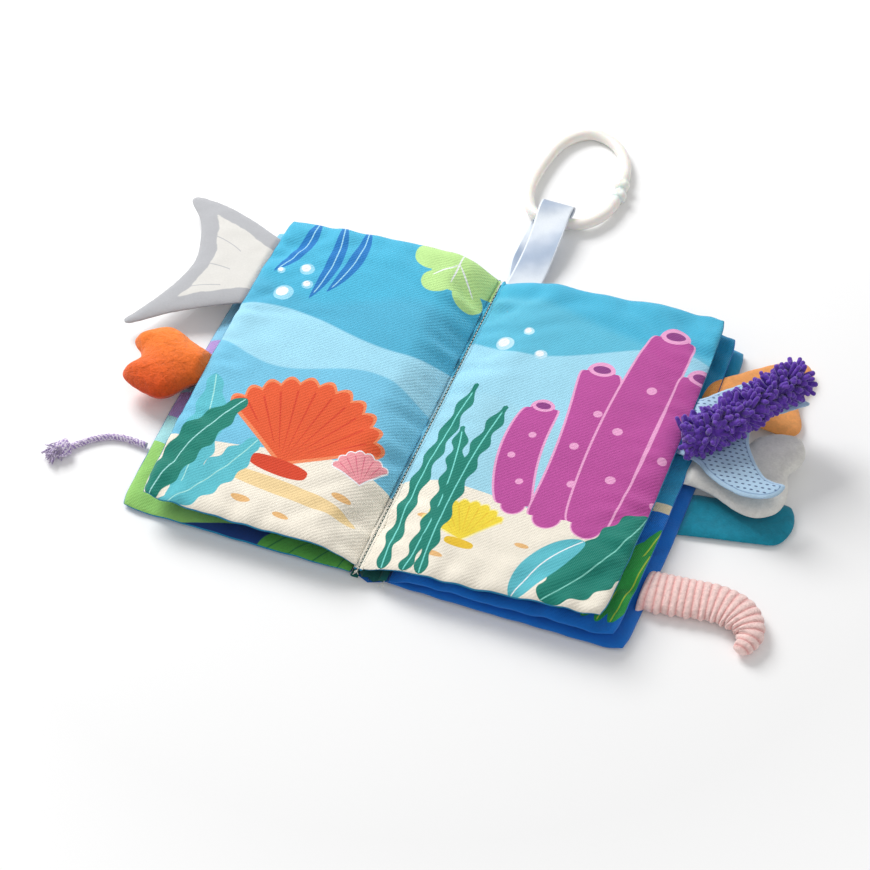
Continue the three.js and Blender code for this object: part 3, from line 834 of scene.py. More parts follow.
def cover_print(c):
    """The front cover's inner side: bands of water and weed"""
    page = Print("front_cover_print", "7FCDF0", -1, c.sea_blue)
    page.below(206, 6, 1.0, 0.0, "3C9ED6", edge=2)
    page.below(168, 5, 1.0, 1.0, "8FD2F2")
    page.below(128, 5, 1.5, 0.6, c.lilac)
    page.below(106, 4, 1.5, 1.6, "A9D8F4")
    page.below(86, 4, 1.5, 0.4, c.lilac)
    page.below(66, 5, 1.2, 2.0, "A6E0E4")
    page.below(50, 6, 1.0, 3.0, c.meadow)
    page.below(9, 13, 0.5, -1.5, c.navy)
    for x, tip in ((82, 100), (94, 112), (108, 124), (124, 132)):
        page.blade((x, -4), (tip, 17), 6.5, "5DAE4B", 0.5, vein="2F7D46")
    return page.finish()


def inner_print(c):
    """The inner page's print: a plain foot band, weeds and a sand strip"""
    page = Print("inner_page_print", c.sea_blue, 1, c.royal)
    page.below(150, 6, 1.0, 2.0, "2C97C6", edge=3)
    page.below(96, 4, 1.0, 0.0, "E9DDBE")
    page.below(88, 4, 1.0, 0.5, c.royal)
    page.blade((132, 160), (136, 196), 8, "E59A4E", 0.4)
    for x, tip, y in ((112, 128, 66), (120, 134, 78), (128, 133, 60), (98, 116, 60)):
        page.blade((x, 8), (tip, y), 6, "2FA24A", 0.5, vein="B9D84A")
    page.below(9, 1.5, 1.0, 0.0, c.royal)
    return page.finish()


WAVE_ROWS = 6
WAVE_ROW_PITCH = 36


def outer_print(name, ground, crest):
    """The outside of a cover: a traditional pattern of rows of waves"""
    page = Print(name, ground)
    for row in range(WAVE_ROWS):
        level = 22 + row * WAVE_ROW_PITCH
        page.below(level + 14, 4, 6, row * 1.5, crest, edge=0.4)
        page.below(level, 4, 6, row * 1.5 + 0.4, ground, edge=0.4)
    return page.finish()


# Leaves


CLOTH_SCALE = 10.0
STUFFED_EDGE = 9
CLOTH_STEPS = 12
SIDEWAYS_SHARE = 0.3
CLOTH_SETTINGS = {
    "quality": 5, "mass": 0.3, "tension_stiffness": 15, "compression_stiffness": 10, "shear_stiffness": 5,
    "bending_stiffness": 0.3, "use_pressure": True, "uniform_pressure_force": 0.3,
    "vertex_group_shrink": "seam", "shrink_max": 0.04,
}


def stuffed_pocket(sizes):
    """A flat pocket of two cloths sewn along their edges, blown up by simulation so that its seams pucker.
    It is simulated ten times as large as it is. Its mesh then runs from -0.5 to 0.5 across and along, and
    its heights are in millimetres."""
    scale = CLOTH_SCALE
    wide, long = PAGE_WIDTH * MM * scale, BOOK_LENGTH * MM * scale
    cell = sizes.cloth_cell * scale
    bm = bmesh.new()
    bm.loops.layers.uv.new("UVMap")
    cells = (round(wide / cell), round(long / cell))
    bmesh.ops.create_grid(bm, x_segments=cells[0], y_segments=cells[1], size=0.5, calc_uvs=True)
    bmesh.ops.scale(bm, vec=(wide, long, 1), verts=bm.verts)
    copied = bmesh.ops.duplicate(bm, geom=bm.verts[:] + bm.edges[:] + bm.faces[:])["geom"]
    back_verts = {g for g in copied if isinstance(g, bmesh.types.BMVert)}
    back_faces = [g for g in copied if isinstance(g, bmesh.types.BMFace)]
    for face in back_faces:
        face.material_index = 1
    bmesh.ops.reverse_faces(bm, faces=back_faces)
    plump = (sizes.plump - sizes.blow_up) * scale
    for vert in bm.verts:
        inset = min(wide / 2 - abs(vert.co.x), long / 2 - abs(vert.co.y))
        rise = plump * math.sqrt(1 - (1 - clamp01(inset / (STUFFED_EDGE * MM * scale))) ** 2)
        vert.co.z = -rise if vert in back_verts else rise
    bmesh.ops.remove_doubles(bm, verts=bm.verts, dist=1e-4)
    bm.verts.index_update()
    rim = [v.index for v in bm.verts if abs(v.co.z) < 1e-6]
    start = [v.co.copy() for v in bm.verts]
    pocket = finished_piece("stuffed_pocket", bm)
    seam = pocket.vertex_groups.new(name="seam")
    seam.add(rim, 1.0, "REPLACE")
    cloth = pocket.modifiers.new("Cloth", "CLOTH")
    for name, value in CLOTH_SETTINGS.items():
        setattr(cloth.settings, name, value)
    cloth.settings.effector_weights.gravity = 0
    cloth.point_cache.frame_end = CLOTH_STEPS + 2
    for step in range(1, CLOTH_STEPS + 1):
        bpy.context.scene.frame_set(step)
    moved = pocket.evaluated_get(bpy.context.evaluated_depsgraph_get())
    cap = sizes.blow_up * scale
    ends = [v.co.copy() for v in moved.data.vertices]
    pocket.modifiers.clear()
    bpy.context.scene.frame_set(1)
    soft = bmesh.new()
    soft.from_mesh(pocket.data)
    for vert, before, after in zip(soft.verts, start, ends):
        shift = after - before
        bulge = cap * math.tanh(shift.z / cap)
        vert.co = before + Vector((shift.x * SIDEWAYS_SHARE, shift.y * SIDEWAYS_SHARE, bulge))
    soft.to_mesh(pocket.data)
    soft.free()
    stretch_x = wide / max(v.co.x for v in pocket.data.vertices) / 2
    stretch_y = long / max(v.co.y for v in pocket.data.vertices) / 2
    pocket.data.transform(Matrix.Diagonal((stretch_x / wide, stretch_y / long, 1 / (scale * MM), 1)))
    return pocket


RIPPLE_SEEDS = {
    "left_page": 0.0, "right_page": 7.3, "inner_page": 13.1, "front_cover": 21.7, "back_cover": 30.9,
}


COVER_RIPPLE_SHARE = 0.4


def rippled(name, u, v):
    """Slow waves of a stuffed leaf and the gathers along its four edges, in millimetres. A cover's are
    lower, as it lies pressed to the ground."""
    seed = RIPPLE_SEEDS[name]
    share = COVER_RIPPLE_SHARE if LEAVES[name].get("flat") else 1.0

    def gathers(fine_u, fine_v, layer, height):
        return ripple_at(u * fine_u + seed, v * fine_v, seed + layer) * height

    slow = gathers(3.0, 5.0, 0, 1.0)
    sewn = gathers(2.5, 30.0, 3, 3.2) * fade(u - 0.06, 0.1)
    outer = gathers(5.0, 22.0, 5, 2.4) * fade(0.95 - u, 0.08)
    outer += gathers(3.0, 42.0, 6, 1.5) * fade(0.93 - u, 0.11)
    foot = gathers(15.0, 5.0, 8, 3.0) * fade(v - 0.03, 0.05)
    head = gathers(13.0, 5.0, 9, 2.6) * fade(0.97 - v, 0.05)
    crease = 0.0
    if name == "left_page":
        line = v - 0.66 - 0.03 * math.sin(u * 4)
        crease = -1.3 * fade(line, 0.009) * clamp01((u - 0.45) * 3)
    return (slow + sewn + outer + foot + head + crease) * share


LEAF_SLOTS = {
    "left_page": "page_print", "front_cover": "cover_print", "right_page": "page_print",
    "inner_page": "cover_print", "back_cover": "blue_cloth",
}


def add_leaf(name, pocket, body, front, back, flip):
    leaf = LEAVES[name]
    bm = bmesh.new()
    bm.from_mesh(pocket.data)
    if flip:
        for vert in bm.verts:
            vert.co.y = -vert.co.y
        bmesh.ops.reverse_faces(bm, faces=bm.faces)

    def printed(flat):
        """The print runs from left to right, and a left-hand leaf starts at its right"""
        across = clamp01(flat.x + 0.5)
        return (across if leaf["side"] > 0 else 1 - across, clamp01(flat.y + 0.5))

    set_uv(bm, printed)
    for vert in bm.verts:
        u, v, rise = vert.co.x + 0.5, vert.co.y + 0.5, vert.co.z
        vert.co = leaf_point(leaf, u, v, rise * gutter_share(leaf, u) + rippled(name, u, v))
    if leaf["side"] < 0:
        bmesh.ops.reverse_faces(bm, faces=bm.faces)
    piece = finished_piece(name + "_cloths", bm, front, back)
    made_finer(piece)
    dressed(piece, body, LEAF_SLOTS[name], name + "_front_cloth", name + "_back_cloth")


FILLING_INSET = (0.085, 0.085 * 0.7)
FILLING_SWELL = 0.12
FILLING_CELLS = (24, 36)
WADDING_HEIGHTS = (-0.7, 0.35)
FILM_HEIGHTS = (0.45, 0.6)


def add_leaf_filling(name, body, wadding, film):
    """The wadding and the crinkle film inside a leaf: two skins each, joined along their rims"""
    leaf = LEAVES[name]
    inset_u, inset_v = FILLING_INSET

    def place(height):
        def at(u, v):
            rim = min(u, 1 - u, v, 1 - v)
            swell = math.sqrt(clamp01(rim / FILLING_SWELL))
            across, along = mix(inset_u, 1 - inset_u, u), mix(inset_v, 1 - inset_v, v)
            lift = height * swell * gutter_share(leaf, across)
            return leaf_point(leaf, across, along, lift + rippled(name, across, along))
        return at

    layers = (("wadding", WADDING_HEIGHTS, wadding), ("crinkle_film", FILM_HEIGHTS, film))
    for label, (low, high), material in layers:
        bm = grid_skin(*FILLING_CELLS, place(high), weld=False)
        pour_in(bm, grid_skin(*FILLING_CELLS, place(low), weld=False))
        bmesh.ops.remove_doubles(bm, verts=bm.verts, dist=WELD_DISTANCE * MM)
        rims = [e for e in bm.edges if e.is_boundary]
        if rims:
            bmesh.ops.bridge_loops(bm, edges=rims)
        bmesh.ops.recalc_face_normals(bm, faces=bm.faces)
        piece = finished_piece(f"{name}_{label}_layer", bm, material)
        dressed(piece, body, label, f"{name}_{label}")


class BOOK_OT_leaves(bpy.types.Operator):
    """Makes the five padded leaves with their prints, wadding and crinkle film"""

    bl_idname = "book.leaves"
    bl_label = "Padded leaves"

    def execute(self, context):
        sizes = context.scene.book_sizes
        c = context.scene.book_colours
        pocket = stuffed_pocket(sizes)
        tone = dip_dyed("1494C4", c.royal)
        royal = cloth_material("royal_blue_cloth", tone, sheen=0.25)
        sea = cloth_material("sea_blue_cloth", c.sea_blue, sheen=0.25)
        plans = (
            ("left_page", "left_page", left_print(c), sea, False),
            ("front_cover", "front_cover", cover_print(c),
             outer_print("front_outside", c.sea_blue, "5FC1E6"), True),
            ("right_page", "right_page", right_print(c), sea, True),
            ("inner_page", "inner_page", inner_print(c), royal, False),
            ("back_cover", "spine_and_back_cover", royal,
             outer_print("back_outside", "0B62AA", "3A9AD2"), True),
        )
        wadding = pile_material("wadding", (0.86, 0.86, 0.84), 900.0, 120.0, 0.3 * MM, 0.12, 0.2)
        film = pile_material("crinkle_film", (0.72, 0.78, 0.82), 300.0, 60.0, 0.4 * MM, 0.1, 0.0, 0.25, 0.6)
        for name, body, front, back, flip in plans:
            add_leaf(name, pocket, body, front, back, flip)
            add_leaf_filling(name, body, wadding, film)
        bpy.data.objects.remove(pocket)
        return {"FINISHED"}


# Spine


def row_of_stitches(beads, points, pitch, length, radius):
    """Stitches laid end to end along a line of points"""
    route = smoothed_route(points)
    count = int(route.length / pitch)
    for i in range(count):
        middle = (i + 0.5) * pitch
        start, _ = route((middle - length / 2) / route.length)
        end, _ = route((middle + length / 2) / route.length)
        beads.add(start, end, radius)


THREAD_ENDS = 4


def thread_ends(beads, origin, seed, radius):
    """Loose thread ends at the foot of a seam"""
    draw = random.Random(seed)
    for _ in range(THREAD_ENDS):
        hang = Vector((draw.uniform(-2.2, 2.2), -draw.uniform(1.5, 3.5), -draw.uniform(0, 2)))
        tip = origin + hang * MM
        bend = origin.lerp(tip, 0.5) + Vector((draw.uniform(-1, 1) * MM, 0, 0))
        beads.add(origin, bend, radius)
        beads.add(bend, tip, radius)


STRIP_CELLS = 60


def strip_of_cloth(outline, ripple, seed=0.0):
    """A closed bar of folded cloth along the book, from its outline in x and z, in millimetres"""
    route = smoothed_route([(x, 0, z) for x, z in outline], closed=True)
    around = len(outline) * 6
    centre = Vector((sum(x for x, _ in outline), 0, sum(z for _, z in outline))) / len(outline)
    cap = 0.5 / STRIP_CELLS

    def place(u, v):
        point = route(u)[0] if cap < v < 1 - cap else centre
        wave = ripple_at(u * 5, v * 30, seed) * ripple
        return Vector((point.x + wave, mix(-HALF_LENGTH, HALF_LENGTH, v), point.z + wave * 0.5)) * MM

    return grid_skin(around, STRIP_CELLS, place)


WEB_RIPPLE = 0.4

# Loose cloth at the two hinges that lift off the spine: its outline, and where it starts and ends to turn
WEBS = (
    ("front_cover_hinge_cloth", "front_cover", dict(
        profile=[(-0.5, 0.62), (-2.0, 0.6), (-3.6, 0.6), (-4.6, 1.0), (-4.3, 1.9), (-3.7, 2.5)],
        start=(-1.0, 0.5), end=(-3.8, 2.6),
    )),
    ("inner_page_hinge_cloth", "inner_page", dict(
        profile=[(14.0, 3.3), (12.4, 3.5), (11.6, 4.1), (12.4, 4.7), (14.0, 4.9), (15.6, 4.7)],
        start=(13.0, 3.4), end=(13.0, 4.7),
    )),
)


class BOOK_OT_spine(bpy.types.Operator):
    """Makes the spine strip, the folded seam edges, the sewn lines and their thread ends"""

    bl_idname = "book.spine"
    bl_label = "Spine and seams"

    def execute(self, context):
        sizes = context.scene.book_sizes
        c = context.scene.book_colours
        root = "spine_and_back_cover"
        royal = cloth_material("spine_cloth_blue", c.royal, sheen=0.3)
        green = cloth_material("seam_edge_cloth", "12665E", sheen=0.2)
        thread = cloth_material("seam_thread", (0.82, 0.80, 0.72), 0.4, 0.12, 0.05 * MM, 0.3, 0.6)
        ground = [(-2.6, 0.4), (5, 0.75), (14.2, 0.75), (14.2, 0.1), (5, 0.1), (-2.6, 0.1)]
        strip = finished_piece("spine_strip", strip_of_cloth(ground, 0.12), royal)
        dressed(strip, root, "blue_cloth", "spine_cloth")
        folds = bmesh.new()
        layers = (
            [(-1.3, 1.3), (0.2, 6.8), (0.5, 7.9), (-0.3, 7.6), (-0.9, 4.0), (-1.5, 1.6)],
            [(0.1, 1.3), (1.0, 4.8), (0.5, 7.8), (1.7, 4.4), (3.4, 2.3), (8.0, 1.4)],
            [(2.4, 1.6), (5.0, 1.9), (9.0, 2.2), (13.9, 3.0), (13.6, 1.9), (8.0, 1.3)],
        )
        pour_in(folds, *(strip_of_cloth(outline, 0.25, k * 2.0) for k, outline in enumerate(layers)))
        folds = finished_piece("folded_seam_edges", folds, green)
        dressed(folds, root, "blue_cloth", "spine_seam_allowance")
        foot = -HALF_LENGTH * MM
        for name, x, z, seed in (("middle_seam", 0, SEAM_HEIGHT, 4), ("rear_seam", *REAR_SEAM, 9)):
            beads = Beads()
            line = [(x * MM, y * MM, z * MM) for y in (-HALF_LENGTH, -40, 40, HALF_LENGTH)]
            row_of_stitches(beads, line, sizes.stitch_pitch, sizes.stitch_length, sizes.thread_radius)
            thread_ends(beads, Vector((x * MM, foot, z * MM)), seed, sizes.thread_radius * 0.7)
            stitches = finished_piece(name + "_stitches", beads.poured_into(bmesh.new()), thread)
            dressed(stitches, root, "thread", name + "_thread")
        for name, side in (("left_page", -1), ("right_page", 1)):
            self.add_fold(name, side, bpy.data.materials[name + "_print"])
        for name, body, web in WEBS:
            self.add_web(name, body, web, green)
        return {"FINISHED"}

    def add_web(self, name, body, web, material):
        """Loose cloth at a hinge, where a leaf's sewn edge lifts off the spine"""
        route = smoothed_route(in_metres([(x, 0, z) for x, z in web["profile"]]))
        reach = HALF_LENGTH - 1

        def place(u, v):
            point, _ = route(u)
            wave = ripple_at(u * 3, v * 24, len(name)) * WEB_RIPPLE * math.sin(math.pi * u)
            return point + Vector((wave, mix(-reach, reach, v), 0)) * MM

        piece = finished_piece(name, grid_skin(18, 90, place, weld=False), material)
        given_thickness(piece)
        start, end = in_metres([(x, 0, z) for x, z in (web["start"], web["end"])])
        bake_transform(piece)
        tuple(start)
        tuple(end)

    def add_fold(self, name, side, material):
        """The printed cloth's folded edge, from the sewn line to the start of the page"""

        def place(u, v):
            angle = 2 * math.pi * u
            cap = 1.0 if 0.004 < v < 0.996 else 0.0
            x = side * (1.55 + 1.1 * cap * math.cos(angle))
            z = SEAM_HEIGHT - 0.3 + 0.4 * cap * math.sin(angle)
            z += ripple_at(side, v * 60, 0) * 0.25 * cap
            return Vector((x, mix(-HALF_LENGTH, HALF_LENGTH, v), z)) * MM

        bm = grid_skin(12, 160, place)
        edge = 0.995 if side < 0 else 0.005
        set_uv(bm, lambda point: (edge, clamp01(point.y / MM / BOOK_LENGTH + 0.5)))
        fold = finished_piece(name + "_sewn_fold", bm, material)
        dressed(fold, name, "page_print", name + "_fold")


# Flat stuffed tails: each has an outline, sharp at its tips; the place, height and slope of its sewn
# root; half its thickness; how far the stuffing takes to swell; and the spacing of its mesh

TAILS = {
    "forked_fin": dict(
        body="left_page", root=(-133.3, 66), root_z=15.4, slope=-0.1, half=2.1, reach=14, voxel=1.5,
        outline=[
            (-124, 95), (-134, 97), (-146, 103), (-156, 108), (-175, 115.5), (-193, 119),
            (-198, 117), (-196.5, 112.5), (-186, 100), (-178, 82), (-174, 64), (-178.5, 42),
            (-189, 18), (-193.5, 10), (-191, 6.5), (-185, 10), (-170, 21), (-152, 31), (-134, 39),
            (-124, 42),
        ],
    ),
    "plush_claw": dict(
        body="left_page", root=(-132.7, -14), root_z=14.5, slope=0, half=10, reach=21, voxel=1.6,
        outline=[
            (-124, -4), (-132.5, -3.6), (-145.6, 0.9), (-152.4, 4.6), (-159.6, 6.8), (-166.5, 4.8),
            (-175.5, -2.5), (-178, -8), (-175.4, -12.6), (-170.4, -16.8), (-169.4, -22),
            (-174, -30), (-172.5, -36.5), (-164.7, -41), (-152, -44.1), (-145.4, -43),
            (-140.5, -38.9), (-133.6, -28.2), (-124, -22),
        ],
    ),
    "dotted_fluke": dict(
        body="right_page", root=(138, 33), root_z=19.0, slope=0.1, half=1.9, reach=9, voxel=1.3,
        outline=[
            (128, 55), (138, 56), (150, 67), (161, 74.5), (180, 72), (197, 67), (184, 57),
            (171.5, 45), (170.5, 33), (177, 19), (187, 7), (199, 4.5), (196, -3.5), (188, -8),
            (177, -8.5), (166, -4.5), (156, 1.5), (149, 8), (138, 12), (128, 14),
        ],
        tips=(5, 11),
    ),
    "felt_fish_tail": dict(
        body="inner_page", root=(145.4, 71), root_z=11.2, slope=-0.17, half=1.8, reach=7, voxel=1.3,
        outline=[
            (134, 82), (145, 84), (157, 96), (172, 110), (184, 114.5), (190, 105), (186, 87),
            (193, 68), (188, 58.5), (172, 57), (145, 58), (134, 60),
        ],
    ),
    "grey_fluke": dict(
        body="inner_page", root=(145.8, 12), root_z=10.7, slope=0, half=4, reach=10, voxel=1.4,
        outline=[
            (138, 24), (158, 28.5), (168, 36), (174, 46), (184, 52), (195, 52.5), (201, 43),
            (200.5, 33), (196, 24.5), (198.5, 15), (199.5, 6), (196.5, -4), (187, -10.5),
            (176, -9.5), (158, -2), (138, 0),
        ],
    ),
    "velour_flipper": dict(
        body="spine_and_back_cover", root=(151.4, -16), root_z=2.4, slope=0, half=1.9, reach=8, voxel=1.3,
        outline=[
            (140, 0), (151, 1), (170, 4), (197, 10.5), (204.5, 7), (207, -5), (202, -17.5),
            (188, -21.5), (168, -25.5), (151, -29), (140, -30),
        ],
    ),
}


RIM_STEP = 0.8
SEAM_HALF = 0.45
SEWN_HALF_SHARE = 0.3
SEWN_DROP = 0.6
SMOOTHING = 0.4


def tail_rim(tail):
    """Even points round a tail's outline: smooth curves between its sharp tips"""
    outline = tail["outline"]
    corners = sorted({0, *tail.get("tips", ()), len(outline) - 1})
    points = []
    for a, b in zip(corners, corners[1:]):
        route = smoothed_route([(x, y, 0) for x, y in outline[a:b + 1]])
        steps = max(int(route.length / RIM_STEP), 2)
        points += [route(i / steps)[0] for i in range(steps)]
    points.append(Vector((*outline[-1], 0)))
    return points


def add_flat_tail(name, material, wrinkle):
    """A stuffed tail on an outline: a slab remeshed evenly, then rounded from its seam to its middle"""
    tail = TAILS[name]
    rim = tail_rim(tail)
    tree = KDTree(len(rim))
    for i, point in enumerate(rim):
        tree.insert(point, i)
    tree.balance()
    slab = max(2.6 * tail["voxel"], 3.6)
    bm = bmesh.new()
    face = bm.faces.new([bm.verts.new((p.x, p.y, -slab / 2)) for p in rim])
    raised = bmesh.ops.extrude_face_region(bm, geom=[face])["geom"]
    raised = [g for g in raised if isinstance(g, bmesh.types.BMVert)]
    bmesh.ops.translate(bm, vec=(0, 0, slab), verts=raised)
    bmesh.ops.recalc_face_normals(bm, faces=bm.faces)
    block = finished_piece(name + "_block", bm)
    remesh = block.modifiers.new("Even", "REMESH")
    remesh.mode = "VOXEL"
    remesh.voxel_size = tail["voxel"]
    even = block.evaluated_get(bpy.context.evaluated_depsgraph_get())
    bm = bmesh.new()
    bm.from_mesh(even.data)
    bpy.data.objects.remove(block)
    rim_layer = bm.verts.layers.float.new("rim")
    seed = len(name) * 1.7
    for vert in bm.verts:
        x, y, z = vert.co
        near, _, gap = tree.find(Vector((x, y, 0)))
        rise = max(-1, min(1, z / (slab / 2)))
        if gap < tail["voxel"] * 0.75:
            x, y, gap = near.x, near.y, 0
        vert[rim_layer] = gap * MM
        puff = math.sqrt(1 - (1 - clamp01(gap / tail["reach"])) ** 2)
        sewn_in = clamp01((abs(tail["root"][0]) + 1 - abs(x)) / 3)
        half = mix(SEAM_HALF, tail["half"], puff) * mix(1, SEWN_HALF_SHARE, sewn_in)
        ripple = ripple_at(x / 9, y / 9, seed) * wrinkle * (0.3 + puff)
        pucker = ripple_at(x / 3.5, y / 3.5, seed) * wrinkle * fade(gap, 4)
        height = tail["root_z"] + tail["slope"] * abs(x - tail["root"][0]) - SEWN_DROP * sewn_in
        vert.co = Vector((x, y, height + half * rise + ripple + pucker)) * MM
    axes = {"use_axis_x": True, "use_axis_y": True, "use_axis_z": True}
    bmesh.ops.smooth_vert(bm, verts=bm.verts, factor=SMOOTHING, **axes)
    bmesh.ops.recalc_face_normals(bm, faces=bm.faces)
    piece = finished_piece(name + "_stuffed_cloth", bm, material)
    made_finer(piece)
    return piece


def bend_at_root(piece, tail_name, slot, *nodes):
    """Hides the tail's parts in the model and bakes the piece's place into its mesh"""
    tail = TAILS[tail_name]
    x, y = tail["root"]
    z = tail["root_z"]
    side = math.copysign(1, x)
    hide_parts(*nodes)
    start, end = in_metres([(x - side * 1.5, y, z), (x + side * 9, y, z)])
    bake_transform(piece)
    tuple(start)
    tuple(end)


def rim_field(tree):
    node = add_node(tree, "ShaderNodeAttribute", attribute_name="rim")
    return Field(tree, node.outputs["Fac"]) / MM


def fin_colour(tree, place):
    """Smooth silver border round an off-white middle with three drawn lines"""
    x, y, _ = split(tree, place)
    ragged = (noise_field(tree, place, 90.0) - 0.5) * 4
    border = rim_field(tree) - 10.5 - ragged
    colour = mixed(tree, (border * -1.0).inside(0.4), "AFB0B4", "DCDAD5")
    for middle_y, slope in ((84, 0.45), (64, 0.05), (46, -0.35)):
        run = x * 1000.0 + 160
        line = (y * 1000.0 - middle_y + run * slope + run * run * 0.012).math("ABSOLUTE") - 0.3
        span = run.math("ABSOLUTE") - 10
        mark = line.math("MAXIMUM", span).inside(0.25)
        colour = mixed(tree, mark, colour, "B2B2B6")
    return colour


def claw_colour(tree, place):
    """Orange with painted shade: darker and redder towards the lower lobe, away from the light, and towards
    the ground under the claw
    """
    _, y, z = split(tree, place)
    # Painted shade: the orange turns darker and redder towards the lower lobe and towards the ground
    to_foot = (y * -16.0).math("ADD", 0.1, clamp=True)
    shade_near_ground = (z * -40.0).math("ADD", 0.7, clamp=True)
    painted_shade = (to_foot + shade_near_ground * 0.6).math("MULTIPLY", 0.95, clamp=True)
    return mixed(tree, painted_shade, "FF8C34", "CE240A")


DOT_COLUMN = 3.6
DOT_ROW = 2.9
DOTTED_HEM = 2.2


def dotted_colour(tree, place):
    """Pale blue cotton with staggered rows of small navy dashes, and a line of sewing inside its rim"""
    x, y, _ = split(tree, place)
    row = y * (1000 / DOT_ROW)
    odd = (row.math("FLOOR") * 0.5).math("FRACT")
    column = x * (1000 / DOT_COLUMN) + odd
    dx = (column.math("FRACT") - 0.5) * DOT_COLUMN
    dy = (row.math("FRACT") - 0.5) * DOT_ROW
    dot = (dx * dx * 0.45 + dy * dy * 1.6).math("SQRT") - 0.62
    past_hem = rim_field(tree) - DOTTED_HEM
    mark = dot.math("MAXIMUM", past_hem * -1.0).inside(0.2)
    colour = mixed(tree, mark, "B6D4EC", "50688E")
    sewing = (past_hem.math("ABSOLUTE") - 0.25).inside(0.2)
    return mixed(tree, sewing * 0.7, colour, "6D8DB8")


class BOOK_OT_flat_tails(bpy.types.Operator):
    """Makes the fin, claw, flukes, fish tail and flipper that are sewn into the leaves' edges"""

    bl_idname = "book.flat_tails"
    bl_label = "Flat and plush tails"

    def execute(self, context):
        fish = pile_material("orange_felt", "F2A45E", 1000.0, 240.0, 0.3 * MM, 0.16, 0.3)
        claw = pile_material("orange_plush", claw_colour, 1000.0, 300.0, 1.3 * MM, 0.24, 0.22)
        grey = pile_material("grey_plush", "E8E6E0", 1000.0, 300.0, 0.6 * MM, 0.12, 0.4)
        velour = pile_material("teal_velour", "0E86A0", 1000.0, 200.0, 0.4 * MM, 0.22, 0.3)
        fin = cloth_material("silver_fin_cloth", fin_colour, 0.6, 0.05, 0.12 * MM, 0.2, 0.7)
        dotted = cloth_material("dotted_cotton", dotted_colour, 0.9, 0.1, 0.2 * MM, 0.1, 0.8)
        sewn = ("front_cloth", "back_cloth", "wadding")
        plush = ("cover", "filling")
        plans = (
            ("forked_fin", fin, "silver_cloth", sewn, 0.3),
            ("plush_claw", claw, "orange_plush", plush, 0.5),
            ("dotted_fluke", dotted, "dotted_cotton", sewn, 0.5),
            ("felt_fish_tail", fish, "orange_felt", sewn, 0.3),
            ("grey_fluke", grey, "grey_plush", plush, 0.3),
            ("velour_flipper", velour, "teal_velour", sewn, 0.25),
        )
        for name, material, slot, layers, wrinkle in plans:
            piece = add_flat_tail(name, material, wrinkle)
            bend_at_root(piece, name, slot, *[f"{name}_{layer}" for layer in layers])
        return {"FINISHED"}


# Long stuffed tails

ARM_ROUTE = [
    (137, 17.6, 25.2), (141, 18.6, 26.8), (148, 21, 29), (158, 30, 35), (169, 45, 36.8), (180, 60, 38),
    (189, 73, 38.5),
]
ARM_ROOT = [(136.5, 18, 23), (147, 18, 23)]
ARM_CORE = 6.2
TUFT_RINGS = 32
TUFTS_AROUND = 17
TUFT_FOOT_SHARE = 0.72
TUFT_LOWEST = 21.5
ROOT_TUFT_LOWEST = 23.5
CURL_ROUTE = [
    (144, -73, 3.6), (150.7, -73, 4.8), (168, -71, 5), (184, -69.5, 5.2), (197, -73, 5.2), (205, -83, 5),
    (202.5, -96, 4.6),
]
CURL_ROOT = [(149, -73, 3), (160, -73, 3)]
CURL_GROUND_GAP = 0.3


def arm_section(share):
    """How far the arm's core reaches to its sides and upwards"""
    return ARM_CORE * MM * (1.5 - 0.45 * share), ARM_CORE * MM * (1.15 - 0.2 * share)


def add_chenille_arm(sizes):
    """A tapering core covered all over with round-ended tufts that point every way"""
    route = smoothed_route(in_metres(ARM_ROUTE))
    material = pile_material("purple_chenille", chenille_colour, 1200.0, 420.0, 0.5 * MM, 0.35, 0.4)

    def core_radii(v, angle):
        rounded = math.sin(math.pi * mix(0.3, 1, v)) ** 0.3
        return [reach * rounded for reach in arm_section(v)]

    core = swept_skin(route, 24, 40, core_radii)
    tufts = Beads(8, 6)
    draw = random.Random(17)
    for ring in range(TUFT_RINGS):
        share = 0.03 + 0.93 * ring / (TUFT_RINGS - 1)
        point, direction = route(share)
        level, upright = section_frame(direction)
        shrink = math.sqrt(max(1 - clamp01((share - 0.9) / 0.13) ** 2, 0.06))
        wide, high = (reach * shrink for reach in arm_section(share))
        count = max(int(TUFTS_AROUND * shrink), 4)
        for k in range(count):
            angle = 2 * math.pi * (k + 0.5 * (ring % 2) + draw.uniform(-0.2, 0.2)) / count
            over, up = math.cos(angle), math.sin(angle)
            out = level * over + upright * up
            foot = point + level * (wide * TUFT_FOOT_SHARE * over) + upright * (high * TUFT_FOOT_SHARE * up)
            lean = draw.uniform(-0.75, 0.85)
            if share < 0.08:
                lean = abs(lean) * 0.5
            tilt = direction * lean + Vector([draw.uniform(-0.5, 0.5) for _ in range(3)])
            if share > 0.93:
                tilt += direction * 0.9
            heading = (out + tilt).normalized()
            long = sizes.tuft_length * draw.uniform(0.65, 1.2)
            if angle > math.pi:
                long *= 0.8
            tip = foot + heading * long
            tip.z = max(tip.z, (ROOT_TUFT_LOWEST if share < 0.15 else TUFT_LOWEST) * MM)
            tufts.add(foot, tip, sizes.tuft_radius * draw.uniform(0.85, 1.15))
    piece = finished_piece("chenille_arm_tufts", tufts.poured_into(core), material)
    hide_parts("chenille_arm_cover", "chenille_arm_filling")
    start, end = in_metres(ARM_ROOT)
    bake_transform(piece)
    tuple(start)
    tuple(end)


def chenille_colour(tree, place):
    """Deep violet and lighter violet, mixed in random patches"""
    patch = noise_field(tree, place, 320.0)
    return mixed(tree, patch, "3E1F92", "7E4EC4")


